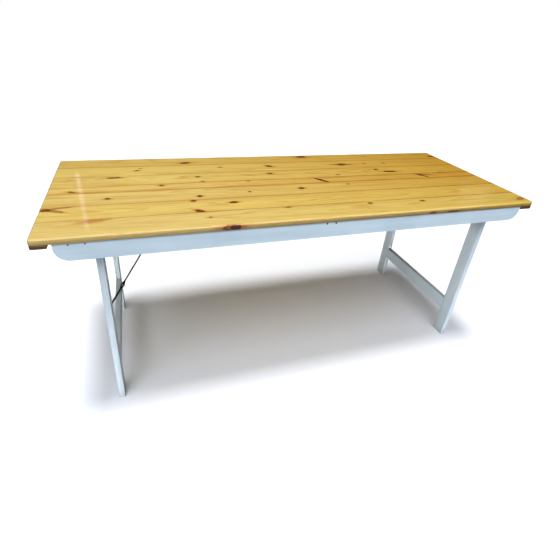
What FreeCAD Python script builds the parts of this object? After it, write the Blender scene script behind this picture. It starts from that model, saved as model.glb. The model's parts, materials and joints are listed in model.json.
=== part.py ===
"""Folding trestle-style dining table: a boarded pine top on two wooden leg frames.

Millimetres, +Z up, origin on the floor under the middle of the top, +X along the length.
The front is -Y. Each leg frame hangs on two butt hinges and folds inwards, up between the
aprons. A jointed steel stay holds each frame upright and folds back on itself beside the leg.
The left end is modelled, and the right end is the same thing turned half round about Z.
"""
import FreeCAD, Part
import math
import os

V = FreeCAD.Vector
X, Y, Z = V(1, 0, 0), V(0, 1, 0), V(0, 0, 1)

# ---------------------------------------------------------------- driving dimensions
LENGTH = 1830.0
WIDTH = 696.0
HEIGHT = 725.0

TOP_T = 21.0                    # thickness of the boards
BOARD_WIDTHS = (106.0, 106.0, 106.0, 60.0, 106.0, 106.0, 106.0)     # front to back
CORNER_R = 10.0                 # table corners, seen from above
TOP_ROUND = 7.0                 # upper edge round the top
UNDER_ROUND = 5.0               # lower edge round the top
SEAM_BEVEL = 0.8
TONGUE, TONGUE_H = 6.0, 6.0
GROOVE, GROOVE_H = 6.5, 6.4

APRON_T, APRON_H = 20.0, 58.0
APRON_SETBACK = 4.0             # from the front edge of the top
APRON_END_INSET = 56.0
APRON_END_R = 42.0
APRON_ARRIS = 2.0

END_BATTEN_T = 12.0
END_BATTEN_W = {"left": 44.0, "right": 54.0}
END_BATTEN_SETBACK = 1.5
END_BATTEN_ROUND = 4.0

BEARER_W, BEARER_T = 100.0, 20.0
MIDDLE_BATTEN_W = 70.0
BATTEN_ARRIS = 1.5

LEG_W, LEG_T = 55.0, 21.0       # across the table, along the table
LEG_CENTRE_X = 749.0
LEG_EDGE_INSET = 50.0           # outer side of a leg from the edge of the top
LEG_ARRIS = 1.5
TOP_RAIL_H = 60.0
STRETCHER_Z = (124.0, 184.0)
DOWEL_R, DOWEL_IN, DOWEL_SPREAD = 4.0, 30.0, 14.0

HINGE_LEN, LEAF_W, LEAF_T = 50.0, 18.5, 1.8
LEAF_CORNER_R = 3.0
KNUCKLES = 5
KNUCKLE_R, KNUCKLE_GAP = 3.6, 0.3
HINGE_AXIS_OFF = 4.0            # hinge axis from the inner face of the frame
HINGE_PIN_R, HINGE_PIN_PROUD = 1.75, 0.5
HINGE_BORE_GAP = 0.05
NOTCH_GAP = 0.8                 # round the other leaf's knuckles
HINGE_Y = 170.0
HINGE_SCREW_PITCH, HINGE_SCREW_UP = 18.0, 11.0

STAY_PIVOT_Z = 388.4            # on the leg
LOWER_ARM = 96.0                # between pivot centres
LOWER_ROD_R, UPPER_ROD_R = 3.25, 2.5
EYE_R, EYE_T, EYE_NECK = 7.0, 2.4, 9.5
NECK_WIDE, NECK_START = 0.8, 0.55  # half width and start of the neck, in eye radii
NECK_RUN = 5.0                  # how far the neck runs on into the rod
NECK_SQUARE = 0.72              # half side of the neck's thin end, in rod radii
LOWER_ROD_OFF = 4.5             # rod centre from the leg's inner side
ROD_GAP = 0.75                  # between the two rods when they lie side by side
EYE_GAP = 0.4
EYE_PLAY = 0.2                  # between an eye and the head or washer beside it
STAY_PIN_R, RUNNING_GAP = 2.25, 0.08
BRACKET_T, BRACKET_L, BRACKET_FOOT = 1.8, 36.0, 22.0
BRACKET_SCREW_X, BRACKET_SCREW_Y = 10.6, 13.2
BRACKET_CORNER_R, TAB_R = 4.0, 9.0

RIVET_HEAD_R, RIVET_HEAD_H = 4.2, 1.5
PIVOT_HEAD_R, PIVOT_HEAD_H, PIVOT_LENGTH = 4.4, 2.2, 32.0
WASHER_R = 7.0

WOOD_SCREW_R, WOOD_SCREW_HEAD_R = 2.2, 4.2
HINGE_SCREW_R, HINGE_SCREW_HEAD_R = 1.6, 3.0
BRACKET_SCREW_R, BRACKET_SCREW_HEAD_R = 1.8, 3.4
BATTEN_SCREW_LEN, END_SCREW_LEN, LEAF_SCREW_LEN = 34.0, 25.0, 16.0
BEARER_SCREWS_AT = (20.0, 55.0)  # the two screw lines from the bearer's outer edge
MIDDLE_SCREWS_AT = 18.0         # either side of the middle batten's centre line
END_SCREWS_AT = 6.0             # either side of an end batten's centre line
NAIL_R, NAIL_HEAD_R, NAIL_HEAD_T, NAIL_LEN = 1.2, 1.9, 0.9, 45.0
NAIL_DROP = 5.5                 # below the underside of the boards
NAILS_AT = (17.0, 774.0, 818.0)  # both ways from the middle of the apron

SHARED_NODES = ("hinge_bearer_screws", "stay_bracket_screws")    # one node for both ends

# ---------------------------------------------------------------- worked out from those
UNDERSIDE = HEIGHT - TOP_T
BEARER_Z = UNDERSIDE - BEARER_T
APRON_Y = WIDTH / 2 - APRON_SETBACK                 # outer face
APRON_INNER_Y = APRON_Y - APRON_T
LEG_OUT_Y = WIDTH / 2 - LEG_EDGE_INSET
LEG_IN_Y = LEG_OUT_Y - LEG_W
FRAME_OUT_X = LEG_CENTRE_X + LEG_T / 2
FRAME_IN_X = LEG_CENTRE_X - LEG_T / 2
HINGE_X = -(FRAME_IN_X - HINGE_AXIS_OFF)            # left hinge line
HINGE_Z = BEARER_Z
STAY_LEG_X = -LEG_CENTRE_X

# The stay is straight when the table stands, and doubled back in one line when it is folded.
# Those two conditions fix the upper pivot and the upper arm's length.
FOLDED_PIVOT_X = HINGE_X + (HINGE_Z - STAY_PIVOT_Z)
FOLDED_PIVOT_Z = HINGE_Z + (STAY_LEG_X - HINGE_X)
RUN_X = FOLDED_PIVOT_X - STAY_LEG_X
RUN_Z = FOLDED_PIVOT_Z - STAY_PIVOT_Z
UPPER_ARM = (RUN_X ** 2 + RUN_Z ** 2 + 2 * RUN_X * LOWER_ARM) / (4 * LOWER_ARM + 2 * RUN_X)
STAY_TOP_X = FOLDED_PIVOT_X - (UPPER_ARM - LOWER_ARM)
STAY_TOP_Z = FOLDED_PIVOT_Z
STAY_ANGLE = math.atan2(STAY_TOP_Z - STAY_PIVOT_Z, STAY_TOP_X - STAY_LEG_X)
ELBOW_X = STAY_LEG_X + LOWER_ARM * math.cos(STAY_ANGLE)
ELBOW_Z = STAY_PIVOT_Z + LOWER_ARM * math.sin(STAY_ANGLE)

# Planes of the left stay across the table, counted from the leg's inner side towards the middle.
LOWER_ROD_Y = -LEG_IN_Y + LOWER_ROD_OFF
UPPER_ROD_Y = LOWER_ROD_Y + LOWER_ROD_R + ROD_GAP + UPPER_ROD_R
LEG_EYE_Y = LOWER_ROD_Y - LOWER_ROD_R               # outer face of the eye on the leg
ELBOW_SPLIT_Y = (LOWER_ROD_Y + LOWER_ROD_R + UPPER_ROD_Y - UPPER_ROD_R) / 2 - 0.125
LOWER_ELBOW_Y = ELBOW_SPLIT_Y - EYE_GAP / 2 - EYE_T
UPPER_ELBOW_Y = ELBOW_SPLIT_Y + EYE_GAP / 2
TOP_EYE_Y = UPPER_ROD_Y + UPPER_ROD_R - EYE_T
TAB_Y = TOP_EYE_Y + EYE_T + EYE_GAP                 # outer face of the bracket's tab


# ---------------------------------------------------------------- shape helpers
def block(x0, x1, y0, y1, z0, z1):
    """A box between two corners."""
    return Part.makeBox(x1 - x0, y1 - y0, z1 - z0, V(x0, y0, z0))


def rod(start, end, radius):
    """A round bar between two points."""
    return Part.makeCylinder(radius, (end - start).Length, start, end - start)


def prism(points, direction):
    """A polygon pushed along a direction."""
    return Part.Face(Part.makePolygon(points + [points[0]])).extrude(direction)


def edges_along(shape, axis):
    """The straight edges that run along an axis."""
    found = []
    for edge in shape.Edges:
        run = edge.valueAt(edge.LastParameter) - edge.valueAt(edge.FirstParameter)
        if run.Length > 1e-6 and abs(abs(run.normalize().dot(axis)) - 1) < 1e-6:
            found.append(edge)
    return found


def eased(shape, radius, axis):
    """The shape with its edges along one axis rounded."""
    return shape.makeFillet(radius, edges_along(shape, axis))


def group(solids):
    """Several separate solids in one node."""
    return Part.makeCompound(solids)


def turned(shape):
    """The same piece at the other end of the table."""
    copy = shape.copy()
    copy.rotate(V(0, 0, 0), Z, 180)
    return copy


# ---------------------------------------------------------------- fasteners
def wood_screw(head, direction, length, radius=WOOD_SCREW_R, head_radius=WOOD_SCREW_HEAD_R):
    """A countersunk screw whose flat head lies at a point and whose tip is further on."""
    cone = head_radius - radius
    tip = 1.6 * radius
    parts = [Part.makeCone(head_radius, radius, cone, head, direction),
             Part.makeCylinder(radius, length - tip - cone, head + direction * cone, direction),
             Part.makeCone(radius, 0.3, tip, head + direction * (length - tip), direction)]
    return parts[0].fuse(parts[1:]).removeSplitter()


def nail(head, direction):
    """A small flat-headed nail driven along a direction."""
    shank = Part.makeCylinder(NAIL_R, NAIL_LEN, head, direction)
    return shank.fuse(Part.makeCylinder(NAIL_HEAD_R, NAIL_HEAD_T, head, direction)).removeSplitter()


def domed_head(base, direction, radius, height):
    """A low round head whose flat side lies at a point."""
    head = Part.makeCylinder(radius, height, base, direction)
    rim = [edge for edge in head.Edges
           if edge.Length > radius and (edge.CenterOfMass - base).dot(direction) > height * 0.9]
    return head.makeFillet(height * 0.8, rim)


def board_rows():
    """Front and back line of each board, front to back."""
    rows, y = [], -WIDTH / 2
    for width in BOARD_WIDTHS:
        rows.append((y, y + width))
        y += width
    return rows


def cross_screws(x_even, x_odd, z, length):
    """One screw up into every board, set left and right in turn."""
    rows = board_rows()
    return [wood_screw(V(x_odd if i % 2 else x_even, (y0 + y1) / 2, z), Z, length)
            for i, (y0, y1) in enumerate(rows)]


# ---------------------------------------------------------------- the top
def rounded_slab():
    """The whole top as one plate with its edges and corners rounded."""
    slab = block(-LENGTH / 2, LENGTH / 2, -WIDTH / 2, WIDTH / 2, UNDERSIDE, HEIGHT)
    slab = eased(slab, CORNER_R, Z)
    upper = [e for e in slab.Edges if abs(e.BoundBox.ZMin - HEIGHT) < 1e-6]
    slab = slab.makeFillet(TOP_ROUND, upper)
    lower = [e for e in slab.Edges if abs(e.BoundBox.ZMax - UNDERSIDE) < 1e-6]
    return slab.makeFillet(UNDER_ROUND, lower)


def board_outline(row, y0, y1):
    """Cross-section of one tongue-and-groove board, with a groove in front and a tongue behind."""
    first, last = row == 0, row == len(BOARD_WIDTHS) - 1
    middle = (UNDERSIDE + HEIGHT) / 2
    over = HEIGHT + 1
    low = UNDERSIDE - (1 if first or last else 0)
    front = y0 - 1 if first else y0
    back = y1 + 1 if last else y1
    outline = [(front, low)]
    if not first:
        outline += [(front, middle - GROOVE_H / 2), (front + GROOVE, middle - GROOVE_H / 2),
                    (front + GROOVE, middle + GROOVE_H / 2), (front, middle + GROOVE_H / 2)]
    outline += [(front, over)] if first else [(front, HEIGHT - SEAM_BEVEL), (front + SEAM_BEVEL, HEIGHT)]
    outline += [(back, over)] if last else [(back - SEAM_BEVEL, HEIGHT), (back, HEIGHT - SEAM_BEVEL)]
    if not last:
        outline += [(back, middle + TONGUE_H / 2), (back + TONGUE, middle + TONGUE_H / 2),
                    (back + TONGUE, middle - TONGUE_H / 2), (back, middle - TONGUE_H / 2)]
    outline.append((back, low))
    return outline


def top_boards():
    """The seven boards, each cut out of the rounded plate."""
    slab = rounded_slab()
    boards = []
    for row, (y0, y1) in enumerate(board_rows()):
        points = [V(-LENGTH / 2 - 1, y, z) for y, z in board_outline(row, y0, y1)]
        boards.append(slab.common(prism(points, X * (LENGTH + 2))))
    return boards


def end_batten(side):
    """The thin cleat under one end of the top."""
    width = END_BATTEN_W[side]
    outer = LENGTH / 2 - END_BATTEN_SETBACK
    half = WIDTH / 2 - END_BATTEN_SETBACK
    body = block(outer - width, outer, -half, half, UNDERSIDE - END_BATTEN_T, UNDERSIDE)
    lower = [e for e in body.Edges if abs(e.BoundBox.ZMax - (UNDERSIDE - END_BATTEN_T)) < 1e-6]
    body = body.makeFillet(END_BATTEN_ROUND, lower)
    return body if side == "right" else body.mirror(V(0, 0, 0), X)


def end_batten_screws(side):
    """Screws up through an end batten into the boards."""
    width = END_BATTEN_W[side]
    x = LENGTH / 2 - END_BATTEN_SETBACK - width / 2
    x = x if side == "right" else -x
    return cross_screws(x - END_SCREWS_AT, x + END_SCREWS_AT, UNDERSIDE - END_BATTEN_T, END_SCREW_LEN)


def apron():
    """The front apron, with its lower end corners swept up in an arc."""
    end = LENGTH / 2 - APRON_END_INSET
    low, r = UNDERSIDE - APRON_H, APRON_END_R
    face = -APRON_Y
    slant = r * (1 - math.sqrt(0.5))

    def at(x, z):
        return V(x, face, z)

    outline = [Part.makeLine(at(-end, UNDERSIDE), at(-end, low + r)),
               Part.Arc(at(-end, low + r), at(-end + slant, low + slant), at(-end + r, low)).toShape(),
               Part.makeLine(at(-end + r, low), at(end - r, low)),
               Part.Arc(at(end - r, low), at(end - slant, low + slant), at(end, low + r)).toShape(),
               Part.makeLine(at(end, low + r), at(end, UNDERSIDE)),
               Part.makeLine(at(end, UNDERSIDE), at(-end, UNDERSIDE))]
    board = Part.Face(Part.Wire(outline)).extrude(Y * APRON_T)
    rim = [e for e in board.Edges
           if e.BoundBox.YLength < 1e-6 and e.BoundBox.ZMin < UNDERSIDE - 1e-6]
    return board.makeFillet(APRON_ARRIS, rim)


def apron_nails():
    """Nails through the front apron into the ends of the bearers and the middle batten."""
    return [nail(V(way * x, -APRON_Y, UNDERSIDE - NAIL_DROP), Y) for x in NAILS_AT for way in (-1, 1)]


def cross_batten(x0, x1):
    """A bare batten across the underside, between the aprons."""
    body = block(x0, x1, -APRON_INNER_Y, APRON_INNER_Y, BEARER_Z, UNDERSIDE)
    lower = [e for e in edges_along(body, Y) if abs(e.BoundBox.ZMax - BEARER_Z) < 1e-6]
    return body.makeFillet(BATTEN_ARRIS, lower)


def hinge_bearer():
    """The left bearer. Its inner edge is level with the frame's inner face."""
    return cross_batten(-FRAME_IN_X - BEARER_W, -FRAME_IN_X)


def bearer_screws():
    """Screws up through the left bearer into the boards, clear of the frame's top."""
    first, second = (-FRAME_IN_X - BEARER_W + off for off in BEARER_SCREWS_AT)
    return cross_screws(first, second, BEARER_Z, BATTEN_SCREW_LEN)


def middle_batten_screws():
    """Screws up through the middle batten into the boards."""
    return cross_screws(-MIDDLE_SCREWS_AT, MIDDLE_SCREWS_AT, BEARER_Z, BATTEN_SCREW_LEN)


# ---------------------------------------------------------------- butt hinges
def knuckle_span(index):
    """Start and end of one knuckle along the hinge, from its middle."""
    pitch = HINGE_LEN / KNUCKLES
    start = -HINGE_LEN / 2 + index * pitch
    return start + KNUCKLE_GAP / 2, start + pitch - KNUCKLE_GAP / 2


def hinge_screws(y, up):
    """Three screws of one leaf. up is +1 for the fixed leaf and -1 for the moving one."""
    face = -FRAME_IN_X + LEAF_T
    return [wood_screw(V(face, y + i * HINGE_SCREW_PITCH, HINGE_Z + up * HINGE_SCREW_UP), -X,
                       LEAF_SCREW_LEN, HINGE_SCREW_R, HINGE_SCREW_HEAD_R) for i in (-1, 0, 1)]


def hinge_leaf(y, up):
    """One leaf with its knuckles: the fixed leaf stands on the bearer, the moving one on the frame."""
    low, high = sorted((HINGE_Z, HINGE_Z + up * LEAF_W))
    leaf = block(-FRAME_IN_X, -FRAME_IN_X + LEAF_T, y - HINGE_LEN / 2, y + HINGE_LEN / 2, low, high)
    corners = [e for e in edges_along(leaf, X) if abs(e.BoundBox.ZMin - (HINGE_Z + up * LEAF_W)) < 1e-6]
    leaf = leaf.makeFillet(LEAF_CORNER_R, corners)
    own = range(0, KNUCKLES, 2) if up > 0 else range(1, KNUCKLES, 2)
    notch_low, notch_high = sorted((HINGE_Z - up, HINGE_Z + up * (KNUCKLE_R + NOTCH_GAP)))
    for index in range(KNUCKLES):
        y0, y1 = knuckle_span(index)
        if index in own:
            centre = V(HINGE_X, y + y0, HINGE_Z)
            leaf = leaf.fuse(Part.makeCylinder(KNUCKLE_R, y1 - y0, centre, Y))
        else:
            leaf = leaf.cut(block(-FRAME_IN_X - 1, HINGE_X, y + y0 - KNUCKLE_GAP, y + y1 + KNUCKLE_GAP,
                                  notch_low, notch_high))
    ends = [V(HINGE_X, y + way * (HINGE_LEN / 2 + 1), HINGE_Z) for way in (-1, 1)]
    bore = rod(*ends, HINGE_PIN_R + HINGE_BORE_GAP)
    return leaf.cut(bore).cut(group(hinge_screws(y, up))).removeSplitter()


def hinge_pin(y):
    """The pin through a hinge's knuckles."""
    reach = HINGE_LEN / 2 + HINGE_PIN_PROUD
    return rod(V(HINGE_X, y - reach, HINGE_Z), V(HINGE_X, y + reach, HINGE_Z), HINGE_PIN_R)


# ---------------------------------------------------------------- leg frame
def leg(y0):
    """One leg, from the floor to the bearer."""
    body = block(-FRAME_OUT_X, -FRAME_IN_X, y0, y0 + LEG_W, 0, BEARER_Z)
    return eased(body, LEG_ARRIS, Z)


def rail(z0, z1):
    """A rail between the two legs."""
    body = block(-FRAME_OUT_X, -FRAME_IN_X, -LEG_IN_Y, LEG_IN_Y, z0, z1)
    return eased(body, LEG_ARRIS, Y)


def frame_dowels():
    """Two dowels in each of the four joints of a frame."""
    dowels = []
    for z0, z1 in (STRETCHER_Z, (BEARER_Z - TOP_RAIL_H, BEARER_Z)):
        for z in ((z0 + z1) / 2 - DOWEL_SPREAD, (z0 + z1) / 2 + DOWEL_SPREAD):
            for side in (-1, 1):
                centre = side * LEG_IN_Y
                dowels.append(rod(V(-LEG_CENTRE_X, centre - DOWEL_IN, z),
                                  V(-LEG_CENTRE_X, centre + DOWEL_IN, z), DOWEL_R))
    return dowels


# ---------------------------------------------------------------- stay
def eye(x, z, y, hole):
    """A flattened, drilled rod end: its disc, whose outer face lies at y."""
    disc = Part.makeCylinder(EYE_R, EYE_T, V(x, y, z), Y)
    return disc.cut(Part.makeCylinder(hole, EYE_T, V(x, y, z), Y))


def neck(x, z, y, angle, rod_y, rod_radius):
    """The taper from a flattened end into the round rod."""
    along = V(math.cos(angle), 0, math.sin(angle))
    across = V(-along.z, 0, along.x)
    near = V(x, 0, z) + along * (EYE_R * NECK_START)
    far = V(x, 0, z) + along * (EYE_NECK + NECK_RUN)

    def ring(centre, half_width, y0, y1):
        corners = [(-half_width, y0), (half_width, y0), (half_width, y1), (-half_width, y1)]
        points = [centre + across * w + Y * level for w, level in corners]
        return Part.makePolygon(points + [points[0]])

    inset = rod_radius * NECK_SQUARE
    return Part.makeLoft([ring(near, EYE_R * NECK_WIDE, y, y + EYE_T),
                          ring(far, inset, rod_y - inset, rod_y + inset)], True)


def stay_arm(start, end, rod_y, rod_radius, eye_levels, holes):
    """A round rod with a flattened eye at each end, between two pivot centres in the XZ plane."""
    angle = math.atan2(end[1] - start[1], end[0] - start[0])
    along = V(math.cos(angle), 0, math.sin(angle))
    first = V(start[0], rod_y, start[1]) + along * (EYE_NECK + 1)
    last = V(end[0], rod_y, end[1]) - along * (EYE_NECK + 1)
    body = rod(first, last, rod_radius)
    for (x, z), level, turn in ((start, eye_levels[0], 0), (end, eye_levels[1], math.pi)):
        body = body.fuse([eye(x, z, level, holes[0]), neck(x, z, level, angle + turn, rod_y, rod_radius)])
    for (x, z), hole in zip((start, end), holes):
        body = body.cut(Part.makeCylinder(hole, 20, V(x, rod_y - 10, z), Y))
    return body.removeSplitter()


def lower_arm():
    """The short thick arm that turns on the leg."""
    holes = (STAY_PIN_R + RUNNING_GAP, STAY_PIN_R)
    return stay_arm((STAY_LEG_X, STAY_PIVOT_Z), (ELBOW_X, ELBOW_Z), LOWER_ROD_Y, LOWER_ROD_R,
                    (LEG_EYE_Y, LOWER_ELBOW_Y), holes)


def upper_arm():
    """The long thin arm that turns on the bracket under the top."""
    holes = (STAY_PIN_R + RUNNING_GAP, STAY_PIN_R)
    return stay_arm((STAY_TOP_X, STAY_TOP_Z), (ELBOW_X, ELBOW_Z), UPPER_ROD_Y, UPPER_ROD_R,
                    (TOP_EYE_Y, UPPER_ELBOW_Y), holes)


def elbow_rivet(upper):
    """Half of the elbow's rivet. The two halves meet between the eyes, one on each arm."""
    level = UPPER_ELBOW_Y if upper else LOWER_ELBOW_Y
    shank = Part.makeCylinder(STAY_PIN_R, EYE_T, V(ELBOW_X, level, ELBOW_Z), Y)
    outward = Y if upper else -Y
    base = V(ELBOW_X, level + EYE_T if upper else level, ELBOW_Z)
    return shank.fuse(domed_head(base, outward, RIVET_HEAD_R, RIVET_HEAD_H)).removeSplitter()


def leg_pivot_screw():
    """The round-headed screw that holds the stay to the leg."""
    head = V(STAY_LEG_X, LEG_EYE_Y + EYE_T + EYE_PLAY, STAY_PIVOT_Z)
    shank = Part.makeCylinder(STAY_PIN_R, PIVOT_LENGTH, head, -Y)
    return shank.fuse(domed_head(head, Y, PIVOT_HEAD_R, PIVOT_HEAD_H)).removeSplitter()


def leg_pivot_washer():
    """The washer between the leg and the stay's eye."""
    base = V(STAY_LEG_X, -LEG_IN_Y, STAY_PIVOT_Z)
    thickness = LEG_EYE_Y - EYE_PLAY + LEG_IN_Y
    disc = Part.makeCylinder(WASHER_R, thickness, base, Y)
    return disc.cut(Part.makeCylinder(STAY_PIN_R, thickness, base, Y))


def bracket_screws():
    """Two screws through the bracket's foot into a board."""
    y, z = TAB_Y + BRACKET_SCREW_Y, UNDERSIDE - BRACKET_T
    return [wood_screw(V(STAY_TOP_X + dx, y, z), Z, LEAF_SCREW_LEN, BRACKET_SCREW_R, BRACKET_SCREW_HEAD_R)
            for dx in (-BRACKET_SCREW_X, BRACKET_SCREW_X)]


def stay_bracket():
    """An angle of steel strip under the top, with a tab that carries the upper arm."""
    x0, x1 = STAY_TOP_X - BRACKET_L / 2, STAY_TOP_X + BRACKET_L / 2
    foot = block(x0, x1, TAB_Y, TAB_Y + BRACKET_FOOT, UNDERSIDE - BRACKET_T, UNDERSIDE)
    outer_corners = [e for e in edges_along(foot, Z) if e.BoundBox.YMin > TAB_Y + 1]
    foot = foot.makeFillet(BRACKET_CORNER_R, outer_corners)
    outline = [V(x0, TAB_Y, UNDERSIDE), V(x1, TAB_Y, UNDERSIDE), V(STAY_TOP_X + TAB_R, TAB_Y, STAY_TOP_Z),
               V(STAY_TOP_X - TAB_R, TAB_Y, STAY_TOP_Z)]
    tab = prism(outline, Y * BRACKET_T)
    tab = tab.fuse(Part.makeCylinder(TAB_R, BRACKET_T, V(STAY_TOP_X, TAB_Y, STAY_TOP_Z), Y))
    hole = Part.makeCylinder(STAY_PIN_R, BRACKET_T, V(STAY_TOP_X, TAB_Y, STAY_TOP_Z), Y)
    return foot.fuse(tab).cut(hole).cut(group(bracket_screws())).removeSplitter()


def top_rivet():
    """The rivet through the bracket's tab and the upper arm's eye."""
    front = TOP_EYE_Y - EYE_PLAY
    back = TAB_Y + BRACKET_T
    shank = rod(V(STAY_TOP_X, front, STAY_TOP_Z), V(STAY_TOP_X, back, STAY_TOP_Z), STAY_PIN_R)
    heads = [domed_head(V(STAY_TOP_X, level, STAY_TOP_Z), outward, RIVET_HEAD_R, RIVET_HEAD_H)
             for level, outward in ((front, -Y), (back, Y))]
    return shank.fuse(heads).removeSplitter()


# ---------------------------------------------------------------- assembly
def top_nodes():
    """Every node that is fastened to the top, apart from the hinges and stay brackets."""
    nodes = {}
    both_ends = [hinge_bearer(), turned(hinge_bearer())]
    screws = {"bearer_screws": bearer_screws() + [turned(s) for s in bearer_screws()],
              "middle_batten_screws": middle_batten_screws(),
              "end_batten_screws": end_batten_screws("left") + end_batten_screws("right")}
    nails = apron_nails()
    nodes["apron_nails"] = group(nails + [turned(n) for n in nails])
    drilled = {"left_hinge_bearer": both_ends[0], "right_hinge_bearer": both_ends[1],
               "middle_batten": cross_batten(-MIDDLE_BATTEN_W / 2, MIDDLE_BATTEN_W / 2),
               "front_apron": apron(), "back_apron": turned(apron()),
               "left_end_batten": end_batten("left"), "right_end_batten": end_batten("right")}
    fixings = [s for row in screws.values() for s in row] + nodes["apron_nails"].Solids
    for name, solid in drilled.items():
        near = [f for f in fixings if f.BoundBox.intersect(solid.BoundBox)]
        nodes[name] = solid.cut(group(near))
    for name, row in screws.items():
        nodes[name] = group(row)
    return nodes, fixings


def left_end_nodes():
    """Every node of the left end that has a twin at the right end."""
    nodes = {}
    dowels = frame_dowels()
    pivot = leg_pivot_screw()
    moving_screws, fixed_screws = [], []
    for place, y in (("front", -HINGE_Y), ("back", HINGE_Y)):
        nodes[f"{place}_hinge_fixed_leaf"] = hinge_leaf(y, 1)
        nodes[f"{place}_hinge_moving_leaf"] = hinge_leaf(y, -1)
        fixed_screws += hinge_screws(y, 1)
        moving_screws += hinge_screws(y, -1)
    nodes["hinge_pins"] = group([hinge_pin(-HINGE_Y), hinge_pin(HINGE_Y)])
    nodes["hinge_bearer_screws"] = group(fixed_screws)
    nodes["hinge_rail_screws"] = group(moving_screws)
    nodes["stay_side_leg"] = leg(-LEG_OUT_Y).cut(group(dowels + [pivot]))
    nodes["plain_leg"] = leg(LEG_IN_Y).cut(group(dowels))
    nodes["top_rail"] = rail(BEARER_Z - TOP_RAIL_H, BEARER_Z).cut(group(dowels + moving_screws))
    nodes["stretcher"] = rail(*STRETCHER_Z).cut(group(dowels))
    nodes["frame_dowels"] = group(dowels)
    nodes["stay_lower_arm"] = lower_arm()
    nodes["stay_upper_arm"] = upper_arm()
    nodes["elbow_rivet_head"] = elbow_rivet(True)
    nodes["elbow_rivet_tail"] = elbow_rivet(False)
    nodes["stay_leg_screw"] = pivot
    nodes["stay_washer"] = leg_pivot_washer()
    nodes["stay_bracket"] = stay_bracket()
    nodes["stay_bracket_screws"] = group(bracket_screws())
    nodes["stay_top_rivet"] = top_rivet()
    return nodes


def end_names(side, name):
    """A node's name at one end: the two legs are named by their place in the table."""
    if name == "stay_side_leg":
        return "left_front_leg" if side == "left" else "right_back_leg"
    if name == "plain_leg":
        return "left_back_leg" if side == "left" else "right_front_leg"
    if side == "right" and name.startswith(("front_hinge", "back_hinge")):
        place, rest = name.split("_", 1)
        name = ("back_" if place == "front" else "front_") + rest
    return f"{side}_{name}"


def build():
    """Every node of the table, by name."""
    nodes, fixings = top_nodes()
    for name, shape in left_end_nodes().items():
        if name in SHARED_NODES:
            nodes[name] = group(shape.Solids + turned(shape).Solids)
        else:
            nodes[end_names("left", name)] = shape
            nodes[end_names("right", name)] = turned(shape)
    for side in ("left", "right"):
        bearer = nodes[f"{side}_hinge_bearer"]
        nodes[f"{side}_hinge_bearer"] = bearer.cut(nodes["hinge_bearer_screws"])
    fixings += nodes["stay_bracket_screws"].Solids
    for number, board in enumerate(top_boards(), 1):
        near = [f for f in fixings if f.BoundBox.intersect(board.BoundBox)]
        nodes[f"top_board_{number}"] = board.cut(group(near))
    return nodes


os.makedirs("parts", exist_ok=True)
for node_name, node_shape in build().items():
    solids = node_shape.Solids
    out = solids[0] if len(solids) == 1 else node_shape
    if not out.isValid():
        raise ValueError(node_name + " is not a valid solid")
    out.exportStep("parts/" + node_name + ".step")
    print(node_name, len(solids), round(sum(s.Volume for s in solids)))
print("upper arm", round(UPPER_ARM, 3), "upper pivot", round(STAY_TOP_X, 3), round(STAY_TOP_Z, 3),
      "stay angle", round(math.degrees(STAY_ANGLE), 4))
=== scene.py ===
"""Looks of a folding table: a varnished pine top of tongue-and-groove boards on painted folding leg frames.

Metres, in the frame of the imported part: +Z up, the front towards -Y, board 1 at the front.
The CAD nodes give every place. The timber, the stay arms and the fasteners are built again here in finer
shape, and the hinges, rivets, washers and dowels keep their CAD shape and get their finish.
"""

import json
import logging
import math
from dataclasses import dataclass
from enum import Enum
from typing import Sequence, Union

import bmesh
import bpy
from bmesh.types import BMesh, BMVert
from bpy.types import Material, Mesh, Node, NodeSocket, NodeTree, Object
from mathutils import Matrix, Vector, noise


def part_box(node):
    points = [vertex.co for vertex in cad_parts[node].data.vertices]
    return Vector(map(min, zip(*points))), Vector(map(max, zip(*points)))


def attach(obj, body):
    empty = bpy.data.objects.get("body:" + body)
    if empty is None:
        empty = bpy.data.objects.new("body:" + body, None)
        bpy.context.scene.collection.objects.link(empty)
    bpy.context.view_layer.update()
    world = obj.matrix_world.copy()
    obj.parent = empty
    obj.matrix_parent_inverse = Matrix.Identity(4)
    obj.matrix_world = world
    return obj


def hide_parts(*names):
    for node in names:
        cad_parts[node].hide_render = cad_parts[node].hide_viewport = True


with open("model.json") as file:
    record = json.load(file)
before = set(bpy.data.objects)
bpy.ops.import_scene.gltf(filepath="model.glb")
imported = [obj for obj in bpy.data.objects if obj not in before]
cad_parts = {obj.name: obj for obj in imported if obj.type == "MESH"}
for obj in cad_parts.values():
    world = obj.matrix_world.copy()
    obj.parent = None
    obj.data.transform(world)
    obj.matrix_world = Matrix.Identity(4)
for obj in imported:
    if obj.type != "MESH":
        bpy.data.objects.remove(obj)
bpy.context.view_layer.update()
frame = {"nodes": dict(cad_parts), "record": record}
LOG = logging.getLogger("folding_table")
MM = 0.001
SIDES = ("left", "right")
SMOOTH_ANGLE = math.radians(38)
Value = Union[float, tuple, Node, NodeSocket]


class Axis(Enum):
    """A direction of the part's frame."""

    X = 0
    Y = 1
    Z = 2


# ---------------------------------------------------------------- small tools
def srgb(code: str) -> tuple[float, float, float, float]:
    """Turns an sRGB hex colour into linear RGBA.

    Args:
        code: Six hex digits after a hash sign.

    Returns:
        Linear red, green, blue and a full alpha.
    """
    parts = [int(code[i:i + 2], 16) / 255 for i in (1, 3, 5)]
    linear = [c / 12.92 if c <= 0.04045 else ((c + 0.055) / 1.055) ** 2.4 for c in parts]
    return (*linear, 1.0)


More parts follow.
